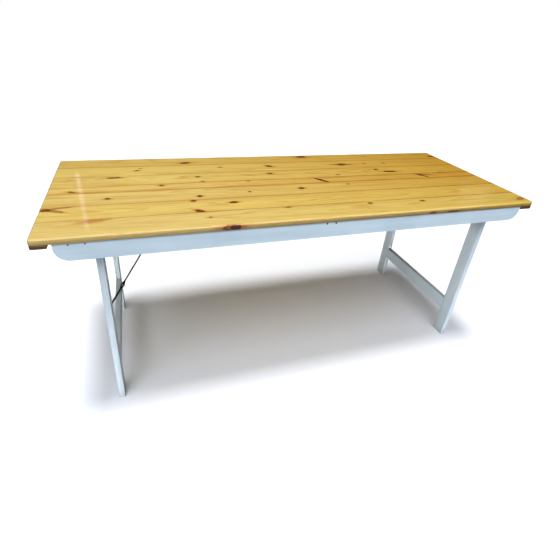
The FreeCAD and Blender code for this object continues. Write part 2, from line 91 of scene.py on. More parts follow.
class Graph:
    """A node tree that is filled one node at a time."""

    def __init__(self, tree: NodeTree) -> None:
        """Takes the tree to fill."""
        self.tree = tree

    def add(self, kind: str, links: dict | None = None, **settings: object) -> Node:
        """Adds one node with its settings and its inputs.

        Args:
            kind: Blender's name for the node's type.
            links: For each input, by name or number, a value, a socket, or a node whose first output is used.
            **settings: The node's own properties.

        Returns:
            The new node.
        """
        node = self.tree.nodes.new(kind)
        for name, value in settings.items():
            setattr(node, name, value)
        for name, value in (links or {}).items():
            if isinstance(name, int):
                socket = node.inputs[name]
            else:
                socket = next(s for s in node.inputs if s.enabled and s.name == name)
            if isinstance(value, Node):
                value = next(s for s in value.outputs if s.enabled)
            if isinstance(value, NodeSocket):
                self.tree.links.new(value, socket)
            else:
                socket.default_value = value
        return node


def grey(value: float) -> tuple[float, float, float, float]:
    """A linear grey as RGBA."""
    return (value, value, value, 1.0)


def new_group(name: str, inputs: dict[str, object], outputs: Sequence[str]) -> tuple[Graph, dict]:
    """Starts a shader node group whose outputs are all numbers.

    Args:
        name: The group's name.
        inputs: Each input's name and default; a tuple of three is a vector, and a number is a float.
        outputs: The outputs' names.

    Returns:
        The graph, and the group's input sockets by name.
    """
    tree = bpy.data.node_groups.new(name, "ShaderNodeTree")
    for label, default in inputs.items():
        kind = "NodeSocketVector" if isinstance(default, tuple) else "NodeSocketFloat"
        socket = tree.interface.new_socket(name=label, in_out="INPUT", socket_type=kind)
        socket.default_value = default
    for label in outputs:
        tree.interface.new_socket(name=label, in_out="OUTPUT", socket_type="NodeSocketFloat")
    return Graph(tree), {s.name: s for s in tree.nodes.new("NodeGroupInput").outputs}


def new_material(name: str) -> tuple[Material, Graph]:
    """Starts a material without nodes.

    Args:
        name: The material's name.

    Returns:
        The material, and the graph that fills it.
    """
    material = bpy.data.materials.new(name)
    material.use_nodes = True
    material.node_tree.nodes.clear()
    return material, Graph(material.node_tree)


def make_object(name: str, mesh: Mesh, material: Material | None) -> Object:
    """Puts a mesh into the scene as one smooth-shaded object at the origin.

    Args:
        name: The object's name.
        mesh: The finished mesh.
        material: Its finish, or None to keep what the mesh has.

    Returns:
        The object.
    """
    obj = bpy.data.objects.new(name, mesh)
    bpy.context.scene.collection.objects.link(obj)
    if material is not None:
        mesh.materials.clear()
        mesh.materials.append(material)
    mesh.shade_smooth()
    mesh.set_sharp_from_angle(angle=SMOOTH_ANGLE)
    return obj


def loft(build: BMesh, rings: Sequence[Sequence[BMVert]]) -> None:
    """Joins each closed ring of points to the next one with four-sided faces.

    Args:
        build: The bmesh that holds the points.
        rings: The rings, in order, all with as many points.
    """
    for near, far in zip(rings, rings[1:]):
        for j in range(len(near)):
            k = (j + 1) % len(near)
            build.faces.new((near[j], near[k], far[k], far[j]))


def mesh_from(name: str, build: BMesh) -> Mesh:
    """Turns a bmesh into a mesh with outward normals.

    Args:
        name: The mesh's name.
        build: The bmesh, which is freed.

    Returns:
        The mesh.
    """
    bmesh.ops.recalc_face_normals(build, faces=build.faces)
    mesh = bpy.data.meshes.new(name)
    build.to_mesh(mesh)
    build.free()
    return mesh


def apply_modifiers(obj: Object) -> None:
    """Replaces an object's mesh with its evaluated one and removes its modifiers.

    Args:
        obj: An object with modifiers.
    """
    bpy.context.view_layer.update()
    graph = bpy.context.evaluated_depsgraph_get()
    finished = obj.evaluated_get(graph)
    mesh = bpy.data.meshes.new_from_object(finished, preserve_all_data_layers=True, depsgraph=graph)
    obj.modifiers.clear()
    obj.data = mesh


def install(obj: Object, body: str, slot: str, *nodes: str) -> None:
    """Says what a finished piece rides on and what it stands for.

    Args:
        obj: The piece.
        body: The CAD body it rides on.
        slot: The record's material slot; not used.
        *nodes: The CAD nodes that it stands for.
    """
    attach(obj, body)
    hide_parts(*nodes)
    LOG.info("%s rides on %s, %d faces", obj.name, body, len(obj.data.polygons))


def body_of(node: str) -> str:
    """The body that a CAD node belongs to."""
    return next(b for b, members in frame["record"]["behaviour"]["bodies"].items() if node in members)


def centre_of(node: str) -> Vector:
    """The middle of a CAD node's box."""
    low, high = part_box(node)
    return (low + high) / 2


# ---------------------------------------------------------------- timber shapes
def round_over(radius: float, steps: int) -> list[tuple[float, float]]:
    """A quarter round as (inset from the side, drop from the face), from the side up to the face."""
    turns = [math.pi / 2 * i / steps for i in range(steps + 1)]
    return [(radius * (1 - math.sin(t)), radius * (1 - math.cos(t))) for t in reversed(turns)]


def rounded_section(width: float, height: float, radii: Sequence[float], steps: int,
                    pitch: float) -> list[tuple[float, float, float]]:
    """Outline of a rectangle with rounded corners, anticlockwise from the low corner.

    Args:
        width: Size along the first axis.
        height: Size along the second axis.
        radii: Corner radii, anticlockwise from the low corner.
        steps: Segments in each corner.
        pitch: Greatest distance between points on the straight sides.

    Returns:
        First and second coordinate of each point, and 1 on a corner's arc, fading to 0 on the flats.
    """
    corners = [(0.0, 0.0), (width, 0.0), (width, height), (0.0, height)]
    points: list[tuple[float, float, float]] = []
    for i, (cx, cy) in enumerate(corners):
        r = radii[i]
        ox, oy = (cx + r if cx == 0 else cx - r), (cy + r if cy == 0 else cy - r)
        start = math.pi + i * math.pi / 2
        for k in range(steps + 1):
            turn = start + math.pi / 2 * k / steps
            worn = 1.0 - abs(2 * k / steps - 1)
            points.append((ox + r * math.cos(turn), oy + r * math.sin(turn), worn))
        j = (i + 1) % 4
        nx, ny = corners[j]
        rn = radii[j]
        side = Vector((nx - cx, ny - cy))
        reach = side.length - r - rn
        count = max(0, math.ceil(reach / pitch) - 1)
        origin = Vector((cx, cy)) + side.normalized() * r
        for k in range(1, count + 1):
            p = origin + side.normalized() * (reach * k / (count + 1))
            points.append((p.x, p.y, 0.0))
    return points


@dataclass(frozen=True)
class Bar:
    """A planed length of timber between two corners, with softened edges and a hand-finished surface."""

    low: Vector
    high: Vector
    along: Axis
    arrises: tuple[float, float, float, float]
    end_arris: float
    pitch: float = 18 * MM
    outline_pitch: float = 12 * MM
    unevenness: float = 0.12 * MM
    seed: float = 0.0

    def stations(self, start: float, end: float) -> list[tuple[float, float]]:
        """Places along the bar, close together at its ends.

        Args:
            start: Where the bar starts.
            end: Where it ends.

        Returns:
            Each place and how far the outline is drawn in there.
        """
        ends = round_over(self.end_arris, 3)
        first = [(start + drop, inset) for drop, inset in ends]
        last = [(end - drop, inset) for drop, inset in reversed(ends)]
        reach = end - start - 2 * self.end_arris
        count = max(2, math.ceil(reach / self.pitch))
        middle = [(start + self.end_arris + reach * i / count, 0.0) for i in range(1, count)]
        return first + middle + last

    def point(self, place: float, pu: float, pv: float, inset: float) -> Vector:
        """A point of the bar's surface, drawn in at the ends and a little uneven from the plane.

        Args:
            place: Where it lies along the bar.
            pu: Where it lies on the outline's first axis.
            pv: Where it lies on the outline's second axis.
            inset: How far the outline is drawn in here.

        Returns:
            The point.
        """
        a = self.along.value
        u, v = (a + 1) % 3, (a + 2) % 3
        size = self.high - self.low
        centre = self.low + size / 2
        centre[a] = place
        point = centre.copy()
        point[u] += (pu - size[u] / 2) * (1 - 2 * inset / size[u])
        point[v] += (pv - size[v] / 2) * (1 - 2 * inset / size[v])
        coarse = 0.5 + 0.5 * noise.noise(point * 9 + Vector((self.seed, 0, 0)))
        fine = 0.5 + 0.5 * noise.noise(point * 45 + Vector((0, self.seed, 0)))
        rough = 0.6 * coarse + 0.4 * fine
        return point + (centre - point).normalized() * self.unevenness * min(1.0, max(0.0, rough))

    def build(self, name: str) -> Mesh:
        """Lofts the outline along the bar and closes both ends.

        Args:
            name: The mesh's name.

        Returns:
            The mesh, with the attribute "wear" at 1 along its edges.
        """
        a = self.along.value
        size = self.high - self.low
        outline = rounded_section(size[(a + 1) % 3], size[(a + 2) % 3], self.arrises, 3, self.outline_pitch)
        build = bmesh.new()
        wear = build.verts.layers.float.new("wear")
        rings = []
        for place, inset in self.stations(self.low[a], self.high[a]):
            ring = []
            for pu, pv, worn in outline:
                vert = build.verts.new(self.point(place, pu, pv, inset))
                vert[wear] = max(worn, 1.0 if inset > 0 else 0.0)
                ring.append(vert)
            rings.append(ring)
        loft(build, rings)
        build.faces.new(list(reversed(rings[0])))
        build.faces.new(rings[-1])
        return mesh_from(name, build)


def bar_for(node: str, along: Axis, **fields: object) -> Mesh:
    """A bar that fills a CAD node's box.

    Args:
        node: The CAD node.
        along: The way the timber runs.
        **fields: Other fields of Bar.

    Returns:
        The bar's mesh.
    """
    low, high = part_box(node)
    return Bar(low, high, along, seed=float(sum(map(ord, node)) % 97), **fields).build(node)


# ---------------------------------------------------------------- wood figure
def figure_group() -> NodeTree:
    """Growth rings and fibres of one sawn board, in millimetres along X.

    Returns:
        A group that gives the late wood of each ring, slow streaks and fine fibres, all from 0 to 1.
    """
    graph, given = new_group(
        "pine_figure",
        {"Place": (0.0, 0.0, 0.0), "Pith Y": 0.0, "Pith Z": 600.0, "Lean": 0.03, "Ring": 4.0, "Seed": 0.0},
        ("Late", "Streak", "Fibre"))
    split = graph.add("ShaderNodeSeparateXYZ", {0: given["Place"]})
    x, y, z = split.outputs
    # The tree's heart wanders and leans along the board, which opens the rings into arches.
    along = graph.add("ShaderNodeMath", {0: x, 1: 0.0016}, operation="MULTIPLY")
    wander_at = graph.add("ShaderNodeCombineXYZ", {"X": along, "Y": given["Seed"]})
    wander = graph.add("ShaderNodeTexNoise", {"Vector": wander_at, "Scale": 1.0, "Detail": 1.0})
    swing = graph.add("ShaderNodeMath", {0: wander, 1: 0.5}, operation="SUBTRACT")
    heart_y = graph.add("ShaderNodeMath", {0: swing, 1: 60.0, 2: given["Pith Y"]}, operation="MULTIPLY_ADD")
    heart_z = graph.add("ShaderNodeMath", {0: x, 1: given["Lean"], 2: given["Pith Z"]},
                        operation="MULTIPLY_ADD")
    off_y = graph.add("ShaderNodeMath", {0: y, 1: heart_y}, operation="SUBTRACT")
    off_z = graph.add("ShaderNodeMath", {0: z, 1: heart_z}, operation="SUBTRACT")
    across = graph.add("ShaderNodeCombineXYZ", {"X": off_y, "Y": off_z})
    radius = graph.add("ShaderNodeVectorMath", {0: across}, operation="LENGTH").outputs["Value"]
    # Uneven ring spacing, and edges that waver a little along the grain.
    waver_at = graph.add("ShaderNodeVectorMath", {0: given["Place"], 1: (0.004, 0.05, 0.05)},
                         operation="MULTIPLY")
    waver = graph.add("ShaderNodeTexNoise", {"Vector": waver_at, "W": given["Seed"], "Scale": 1.0,
                                             "Detail": 3.0}, noise_dimensions="4D")
    ring = graph.add("ShaderNodeMath", {0: radius, 1: given["Ring"]}, operation="DIVIDE")
    ring = graph.add("ShaderNodeMath", {0: waver, 1: 2.6, 2: ring}, operation="MULTIPLY_ADD")
    phase = graph.add("ShaderNodeMath", {0: ring}, operation="FRACT")
    late = graph.add("ShaderNodeValToRGB", {"Fac": phase})
    stops = [(0.0, 0.15), (0.12, 0.0), (0.55, 0.18), (0.86, 1.0), (0.97, 0.55), (1.0, 0.15)]
    elements = late.color_ramp.elements
    while len(elements) < len(stops):
        elements.new(0.5)
    for element, (place, shade) in zip(elements, stops):
        element.position = place
        element.color = grey(shade)
    number = graph.add("ShaderNodeMath", {0: ring}, operation="FLOOR")
    strength = graph.add("ShaderNodeTexWhiteNoise", {"W": number}, noise_dimensions="1D").outputs["Value"]
    strength = graph.add("ShaderNodeMath", {0: strength, 1: 0.65, 2: 0.35}, operation="MULTIPLY_ADD")
    late = graph.add("ShaderNodeMath", {0: late, 1: strength}, operation="MULTIPLY")
    streak_at = graph.add("ShaderNodeVectorMath", {0: given["Place"], 1: (0.0022, 0.055, 0.055)},
                          operation="MULTIPLY")
    streak = graph.add("ShaderNodeTexNoise", {"Vector": streak_at, "W": given["Seed"], "Scale": 1.0,
                                              "Detail": 4.0, "Roughness": 0.6}, noise_dimensions="4D")
    # Fibres are far finer than this; 0.8 mm across is the finest that still shows.
    fibre_at = graph.add("ShaderNodeVectorMath", {0: given["Place"], 1: (0.02, 1.2, 1.2)},
                         operation="MULTIPLY")
    fibre = graph.add("ShaderNodeTexNoise", {"Vector": fibre_at, "W": given["Seed"], "Scale": 1.0,
                                             "Detail": 3.0, "Roughness": 0.65}, noise_dimensions="4D")
    graph.add("NodeGroupOutput", {"Late": late, "Streak": streak, "Fibre": fibre})
    return graph.tree


def knot_group() -> NodeTree:
    """One knot through a board, in millimetres.

    Returns:
        A group that gives how far the grain is pushed aside, and the knot's heart, rim, checks and warm halo.
    """
    graph, given = new_group(
        "pine_knot",
        {"Place": (0.0, 0.0, 0.0), "X": 0.0, "Y": 0.0, "Z": 725.0, "Half Length": 12.0, "Half Width": 6.0,
         "Turn": 0.0, "Tilt": 0.0, "Seed": 0.0},
        ("Push", "Heart", "Rim", "Check", "Halo"))
    centre = graph.add("ShaderNodeCombineXYZ", {"X": given["X"], "Y": given["Y"], "Z": given["Z"]})
    turn = graph.add("ShaderNodeCombineXYZ", {"X": given["Tilt"], "Z": given["Turn"]})
    off = graph.add("ShaderNodeVectorMath", {0: given["Place"], 1: centre}, operation="SUBTRACT")
    off = graph.add("ShaderNodeVectorRotate", {"Vector": off, "Rotation": turn}, rotation_type="EULER_XYZ",
                    invert=True)
    off = graph.add("ShaderNodeVectorMath", {0: off, 1: (1.0, 1.0, 0.0)}, operation="MULTIPLY")
    size = graph.add("ShaderNodeCombineXYZ", {"X": given["Half Length"], "Y": given["Half Width"], "Z": 1.0})
    unit = graph.add("ShaderNodeVectorMath", {0: off, 1: size}, operation="DIVIDE")
    rough = graph.add("ShaderNodeTexNoise", {"Vector": unit, "W": given["Seed"], "Scale": 1.7, "Detail": 3.0},
                      noise_dimensions="4D")
    rough = graph.add("ShaderNodeMath", {0: rough, 1: 0.5}, operation="SUBTRACT")
    length = graph.add("ShaderNodeVectorMath", {0: unit}, operation="LENGTH").outputs["Value"]
    edge = graph.add("ShaderNodeMath", {0: rough, 1: 1.0, 2: length}, operation="MULTIPLY_ADD")
    heart = graph.add("ShaderNodeMapRange", {"Value": edge, "From Min": 1.08, "From Max": 0.86},
                      interpolation_type="SMOOTHSTEP")
    rim_in = graph.add("ShaderNodeMapRange", {"Value": edge, "From Min": 0.55, "From Max": 0.95},
                       interpolation_type="SMOOTHSTEP")
    rim_out = graph.add("ShaderNodeMapRange", {"Value": edge, "From Min": 1.2, "From Max": 0.98},
                        interpolation_type="SMOOTHSTEP")
    rim = graph.add("ShaderNodeMath", {0: rim_in, 1: rim_out}, operation="MULTIPLY")
    # Drying checks run out from the knot's pith.
    ray_at = graph.add("ShaderNodeVectorMath", {0: unit}, operation="NORMALIZE")
    ray = graph.add("ShaderNodeTexNoise", {"Vector": ray_at, "W": given["Seed"], "Scale": 2.6, "Detail": 0.0},
                    noise_dimensions="4D")
    ray = graph.add("ShaderNodeMapRange", {"Value": ray, "From Min": 0.6, "From Max": 0.68})
    check = graph.add("ShaderNodeMath", {0: ray, 1: heart}, operation="MULTIPLY")
    reach = graph.add("ShaderNodeVectorMath", {0: unit, 1: (0.36, 0.62, 1.0)}, operation="MULTIPLY")
    reach = graph.add("ShaderNodeVectorMath", {0: reach}, operation="LENGTH").outputs["Value"]
    reach = graph.add("ShaderNodeMath", {0: rough, 1: 0.5, 2: reach}, operation="MULTIPLY_ADD")
    halo = graph.add("ShaderNodeMapRange", {"Value": reach, "From Min": 1.15, "From Max": 0.35},
                     interpolation_type="SMOOTHSTEP")
    # The grain is pushed aside: most at the knot's flanks, fading over about three lengths.
    bulge = graph.add("ShaderNodeVectorMath", {0: unit, 1: (0.42, 0.5, 1.0)}, operation="MULTIPLY")
    bulge = graph.add("ShaderNodeVectorMath", {0: bulge, 1: bulge}, operation="DOT_PRODUCT").outputs["Value"]
    bulge = graph.add("ShaderNodeMath", {0: bulge, 1: -1.0}, operation="MULTIPLY")
    bulge = graph.add("ShaderNodeMath", {0: bulge}, operation="EXPONENT")
    side = graph.add("ShaderNodeSeparateXYZ", {0: off}).outputs["Y"]
    push = graph.add("ShaderNodeMath", {0: side, 1: bulge}, operation="MULTIPLY")
    graph.add("NodeGroupOutput", {"Push": push, "Heart": heart, "Rim": rim, "Check": check, "Halo": halo})
    return graph.tree


@dataclass(frozen=True)
class Knot:
    """A knot, in millimetres and degrees.

    Its tilt lays its axis over, for one that comes out at an edge. Its core is near 0 where the knot lies
    under the surface and only its warm halo shows.
    """

    x: float
    y: float
    half_length: float
    half_width: float
    turn: float = 0.0
    strength: float = 1.0
    redness: float = 0.3
    z: float = 725.0
    tilt: float = 0.0
    core: float = 1.0


@dataclass(frozen=True)
class TimberFinish:
    """Planed timber. Varnished pine is a warm glossy gold with orange-brown late wood and dark knots.

    Left bare, it is paler and dull. Beech has the same figure, but tighter and fainter. Its lengths, heights
    and reaches are in millimetres.
    """

    name: str
    early: str
    late: str
    far: str = ""
    heart: str = "#502400"
    rim: str = "#2b1000"
    red: str = "#6e2400"
    halo: str = "#b6690e"
    end_stain: str = "#6e4210"
    foot_stain_and_shade_colour: str = "#5f3a0c"
    resin: str = "#b4761c"
    joint_dirt: str = "#6e3f08"
    varnished: bool = True
    contrast: float = 1.0
    along: Axis = Axis.X
    pith: tuple[float, float] = (0.0, 600.0)
    lean: float = 0.02
    ring: float = 4.2
    seed: float = 0.0
    knots: tuple[Knot, ...] = ()
    seams: tuple[float, float] | None = None
    dark_lines: tuple[float, float] = (0.8, 0.8)
    glows: tuple[float, float] = (0.2, 0.2)
    dirt_reach: tuple[float, float] = (0.9, 4.2)
    glow_reach: tuple[float, float] = (3.0, 30.0)
    end_grain: tuple[float, float] = (911.0, 914.5)
    rounding: tuple[float, float] = (723.0, 706.0)
    underside: tuple[float, float] = (704.1, 705.0)

    def place(self, graph: Graph) -> Node:
        """The object's coordinates in millimetres, turned so that the grain runs along X.

        Args:
            graph: The material's graph.

        Returns:
            The Mapping node.
        """
        here = graph.add("ShaderNodeTexCoord").outputs["Object"]
        turn = {Axis.X: (0, 0, 0), Axis.Y: (0, 0, -math.pi / 2), Axis.Z: (0, math.pi / 2, 0)}[self.along]
        return graph.add("ShaderNodeMapping", {"Vector": here, "Rotation": turn, "Scale": (1000.0,) * 3})

    def seam_shade(self, graph: Graph, place: Node, reach: tuple[float, float],
                   strengths: tuple[float, float]) -> Node:
        """A shade along a board's two long edges, wider in some places than in others.

        Args:
            graph: The material's graph.
            place: The coordinates in millimetres.
            reach: How far the shade reaches from the edge, at least and at most.
            strengths: The shade's strength at the front and back edges.

        Returns:
            A node that is 0 inside the board and the given strength at its edge.
        """
        split = graph.add("ShaderNodeSeparateXYZ", {0: place})
        run_at = graph.add("ShaderNodeVectorMath", {0: place, 1: (0.006, 0.02, 0.0)}, operation="MULTIPLY")
        run = graph.add("ShaderNodeTexNoise", {"Vector": run_at, "W": self.seed, "Scale": 1.0, "Detail": 3.0},
                        noise_dimensions="4D")
        shades = []
        for edge, strength in zip(self.seams, strengths):
            off = graph.add("ShaderNodeMath", {0: split.outputs["Y"], 1: edge}, operation="SUBTRACT")
            off = graph.add("ShaderNodeMath", {0: off}, operation="ABSOLUTE")
            wide = graph.add("ShaderNodeMapRange", {"Value": run, "From Min": 0.3, "From Max": 0.7,
                                                    "To Min": reach[0], "To Max": reach[1]})
            near = graph.add("ShaderNodeMath", {0: off, 1: wide}, operation="DIVIDE")
            near = graph.add("ShaderNodeMapRange", {"Value": near, "From Min": 1.0, "From Max": 0.2,
                                                    "To Max": strength}, interpolation_type="SMOOTHSTEP")
            shades.append(near)
        both = graph.add("ShaderNodeMath", {0: shades[0], 1: shades[1]}, operation="MAXIMUM")
        worn = graph.add("ShaderNodeMapRange", {"Value": split.outputs["X"], "From Min": -900.0,
                                                "From Max": 900.0, "To Min": 0.65, "To Max": 1.0})
        return graph.add("ShaderNodeMath", {0: both, 1: worn}, operation="MULTIPLY")

    def ground(self, graph: Graph, x: Value, grain: Node) -> Node:
        """The wood's colour before knots and stains: early wood, late wood, streaks and fibres.

        Args:
            graph: The material's graph.
            x: The place along the board, in millimetres.
            grain: The node of the figure group.

        Returns:
            The node of the colour.
        """
        deep = srgb(self.late)
        late, streak, fibre = (grain.outputs[n] for n in ("Late", "Streak", "Fibre"))
        # One end of a long board is often yellower than the other.
        drift = graph.add("ShaderNodeMapRange", {"Value": x, "From Min": -500.0, "From Max": 1000.0})
        early = graph.add("ShaderNodeMix", {"Factor": drift, "A": srgb(self.early),
                                            "B": srgb(self.far or self.early)}, data_type="RGBA")
        amount = graph.add("ShaderNodeMath", {0: late, 1: 0.62 * self.contrast}, operation="MULTIPLY")
        colour = graph.add("ShaderNodeMix", {"Factor": amount, "A": early, "B": deep}, data_type="RGBA")
        warm = graph.add("ShaderNodeMapRange", {"Value": streak, "From Min": 0.46, "From Max": 0.78,
                                                "To Max": 0.55 * self.contrast},
                         interpolation_type="SMOOTHSTEP")
        colour = graph.add("ShaderNodeMix", {"Factor": warm, "A": colour, "B": deep}, data_type="RGBA")
        pale = graph.add("ShaderNodeMapRange", {"Value": streak, "From Min": 0.46, "From Max": 0.2,
                                                "To Max": 0.35}, interpolation_type="SMOOTHSTEP")
        light = graph.add("ShaderNodeMix", {"Factor": 1.0, "A": early, "B": grey(1.18)}, data_type="RGBA",
                          blend_type="MULTIPLY")
        colour = graph.add("ShaderNodeMix", {"Factor": pale, "A": colour, "B": light}, data_type="RGBA")
        thread = graph.add("ShaderNodeMapRange", {"Value": fibre, "From Min": 0.25, "From Max": 0.75,
                                                  "To Min": 0.86, "To Max": 1.1})
        return graph.add("ShaderNodeMix", {"Factor": 1.0, "A": colour, "B": thread}, data_type="RGBA",
                         blend_type="MULTIPLY")

    def knotted(self, graph: Graph, colour: Node, spot: Knot, node: Node) -> Node:
        """Lays one knot over the wood: its warm halo, then its heart, rim and drying checks.

        Args:
            graph: The material's graph.
            colour: The wood's colour.
            spot: The knot.
            node: Its node of the knot group.

        Returns:
            The node of the new colour.
        """
        dark = spot.strength * spot.core
        rim = srgb(self.rim)
        core = graph.add("ShaderNodeMix", {"Factor": spot.redness, "A": srgb(self.heart),
                                           "B": srgb(self.red)}, data_type="RGBA")
        layers = (("Halo", 0.75 * spot.strength, srgb(self.halo)), ("Heart", 0.92 * dark, core),
                  ("Rim", 0.9 * dark, rim), ("Check", 0.6 * dark, rim))
        for part, share, tint in layers:
            amount = graph.add("ShaderNodeMath", {0: node.outputs[part], 1: share}, operation="MULTIPLY")
            colour = graph.add("ShaderNodeMix", {"Factor": amount, "A": colour, "B": tint}, data_type="RGBA")
        return colour

    def edges(self, graph: Graph, colour: Node, place: Node, split: Node) -> Node:
        """Stains a board of the top at its ends and its joints, and darkens its rounded edge with stain and
        painted shade.

        Args:
            graph: The material's graph.
            colour: The wood's colour.
            place: The coordinates in millimetres.
            split: The same, as X, Y and Z.

        Returns:
            The node of the new colour.
        """
        # End grain drinks more stain than the face.
        out = graph.add("ShaderNodeMath", {0: split.outputs["X"]}, operation="ABSOLUTE")
        out = graph.add("ShaderNodeMapRange", {"Value": out, "From Min": self.end_grain[0],
                                               "From Max": self.end_grain[1], "To Max": 0.45})
        # The rounded edge darkens towards its foot, more towards the right: partly stain that the edge takes
        # up, partly painted shade where the rounding turns down. The underside has none of it.
        deepest = graph.add("ShaderNodeMapRange", {"Value": split.outputs["X"], "From Min": -800.0,
                                                   "From Max": 500.0, "To Min": 0.45, "To Max": 0.85})
        foot_stain_and_shade = graph.add("ShaderNodeMapRange", {"Value": split.outputs["Z"], "From Min": self.rounding[0],
                                                "From Max": self.rounding[1], "To Max": deepest})
        edge = graph.add("ShaderNodeMapRange", {"Value": split.outputs["Z"], "From Min": self.underside[0],
                                                "From Max": self.underside[1]})
        foot_stain_and_shade = graph.add("ShaderNodeMath", {0: foot_stain_and_shade, 1: edge}, operation="MULTIPLY")
        # Resin and thick varnish glow beside the joints, and dirt darkens the joints themselves.
        glow = self.seam_shade(graph, place, self.glow_reach, self.glows)
        dirt = self.seam_shade(graph, place, self.dirt_reach, self.dark_lines)
        for amount, stain in ((out, self.end_stain), (foot_stain_and_shade, self.foot_stain_and_shade_colour), (glow, self.resin),
                              (dirt, self.joint_dirt)):
            colour = graph.add("ShaderNodeMix", {"Factor": amount, "A": colour, "B": srgb(stain)},
                               data_type="RGBA")
        return colour

    def build(self, figure: NodeTree, knot: NodeTree) -> Material:
        """Builds the material.

        Args:
            figure: The shared group of rings and fibres.
            knot: The shared group of one knot.

        Returns:
            The material.
        """
        material, graph = new_material(self.name)
        place = self.place(graph)
        pushed = place
        found = []
        for number, spot in enumerate(self.knots):
            node = graph.add("ShaderNodeGroup", {
                "Place": place, "X": spot.x, "Y": spot.y, "Z": spot.z, "Half Length": spot.half_length,
                "Half Width": spot.half_width, "Turn": math.radians(spot.turn),
                "Tilt": math.radians(spot.tilt), "Seed": self.seed * 3 + number * 1.7}, node_tree=knot)
            found.append((spot, node))
            shift = graph.add("ShaderNodeMath", {0: node.outputs["Push"], 1: -0.72}, operation="MULTIPLY")
            shift = graph.add("ShaderNodeCombineXYZ", {"Y": shift})
            pushed = graph.add("ShaderNodeVectorMath", {0: pushed, 1: shift}, operation="ADD")
        grain = graph.add("ShaderNodeGroup", {
            "Place": pushed, "Pith Y": self.pith[0], "Pith Z": self.pith[1], "Lean": self.lean,
            "Ring": self.ring, "Seed": self.seed}, node_tree=figure)
        split = graph.add("ShaderNodeSeparateXYZ", {0: place})
        colour = self.ground(graph, split.outputs["X"], grain)
        for spot, node in found:
            colour = self.knotted(graph, colour, spot, node)
        if self.seams is not None:
            colour = self.edges(graph, colour, place, split)
        self.surface(graph, colour, grain)
        return material

    def surface(self, graph: Graph, colour: Node, grain: Node) -> None:
        """Adds the shader: clear gloss varnish over the wood, or the dull planed wood itself.

        Args:
            graph: The material's graph.
            colour: The wood's colour.
            grain: The node of the figure group.
        """
        fibre = grain.outputs["Fibre"]
        relief = graph.add("ShaderNodeMath", {0: grain.outputs["Late"], 1: 0.5, 2: fibre},
                           operation="MULTIPLY_ADD")
        bump = graph.add("ShaderNodeBump", {"Height": relief, "Strength": 0.12 if self.varnished else 0.35,
                                            "Distance": 0.15 * MM})
        low, high = (0.30, 0.42) if self.varnished else (0.55, 0.75)
        rough = graph.add("ShaderNodeMapRange", {"Value": fibre, "To Min": low, "To Max": high})
        shader = graph.add("ShaderNodeBsdfPrincipled", {"Base Color": colour, "Roughness": rough,
                                                        "Normal": bump, "Specular IOR Level": 0.35,
                                                        "IOR": 1.5})
        if self.varnished:
            # Brushed varnish levels out almost flat, with slow ripples a few centimetres long.
            ripple_at = graph.add("ShaderNodeTexCoord").outputs["Object"]
            ripple_at = graph.add("ShaderNodeMapping", {"Vector": ripple_at, "Scale": (9.0, 60.0, 60.0)})
            ripple = graph.add("ShaderNodeTexNoise", {"Vector": ripple_at, "Scale": 1.0, "Detail": 3.0})
            coat = graph.add("ShaderNodeBump", {"Height": ripple, "Strength": 0.25, "Distance": 0.25 * MM})
            shader.inputs["Coat Weight"].default_value = 1.0
            shader.inputs["Coat Roughness"].default_value = 0.06
            shader.inputs["Coat IOR"].default_value = 1.5
            graph.tree.links.new(coat.outputs[0], shader.inputs["Coat Normal"])
        graph.add("ShaderNodeOutputMaterial", {"Surface": shader})


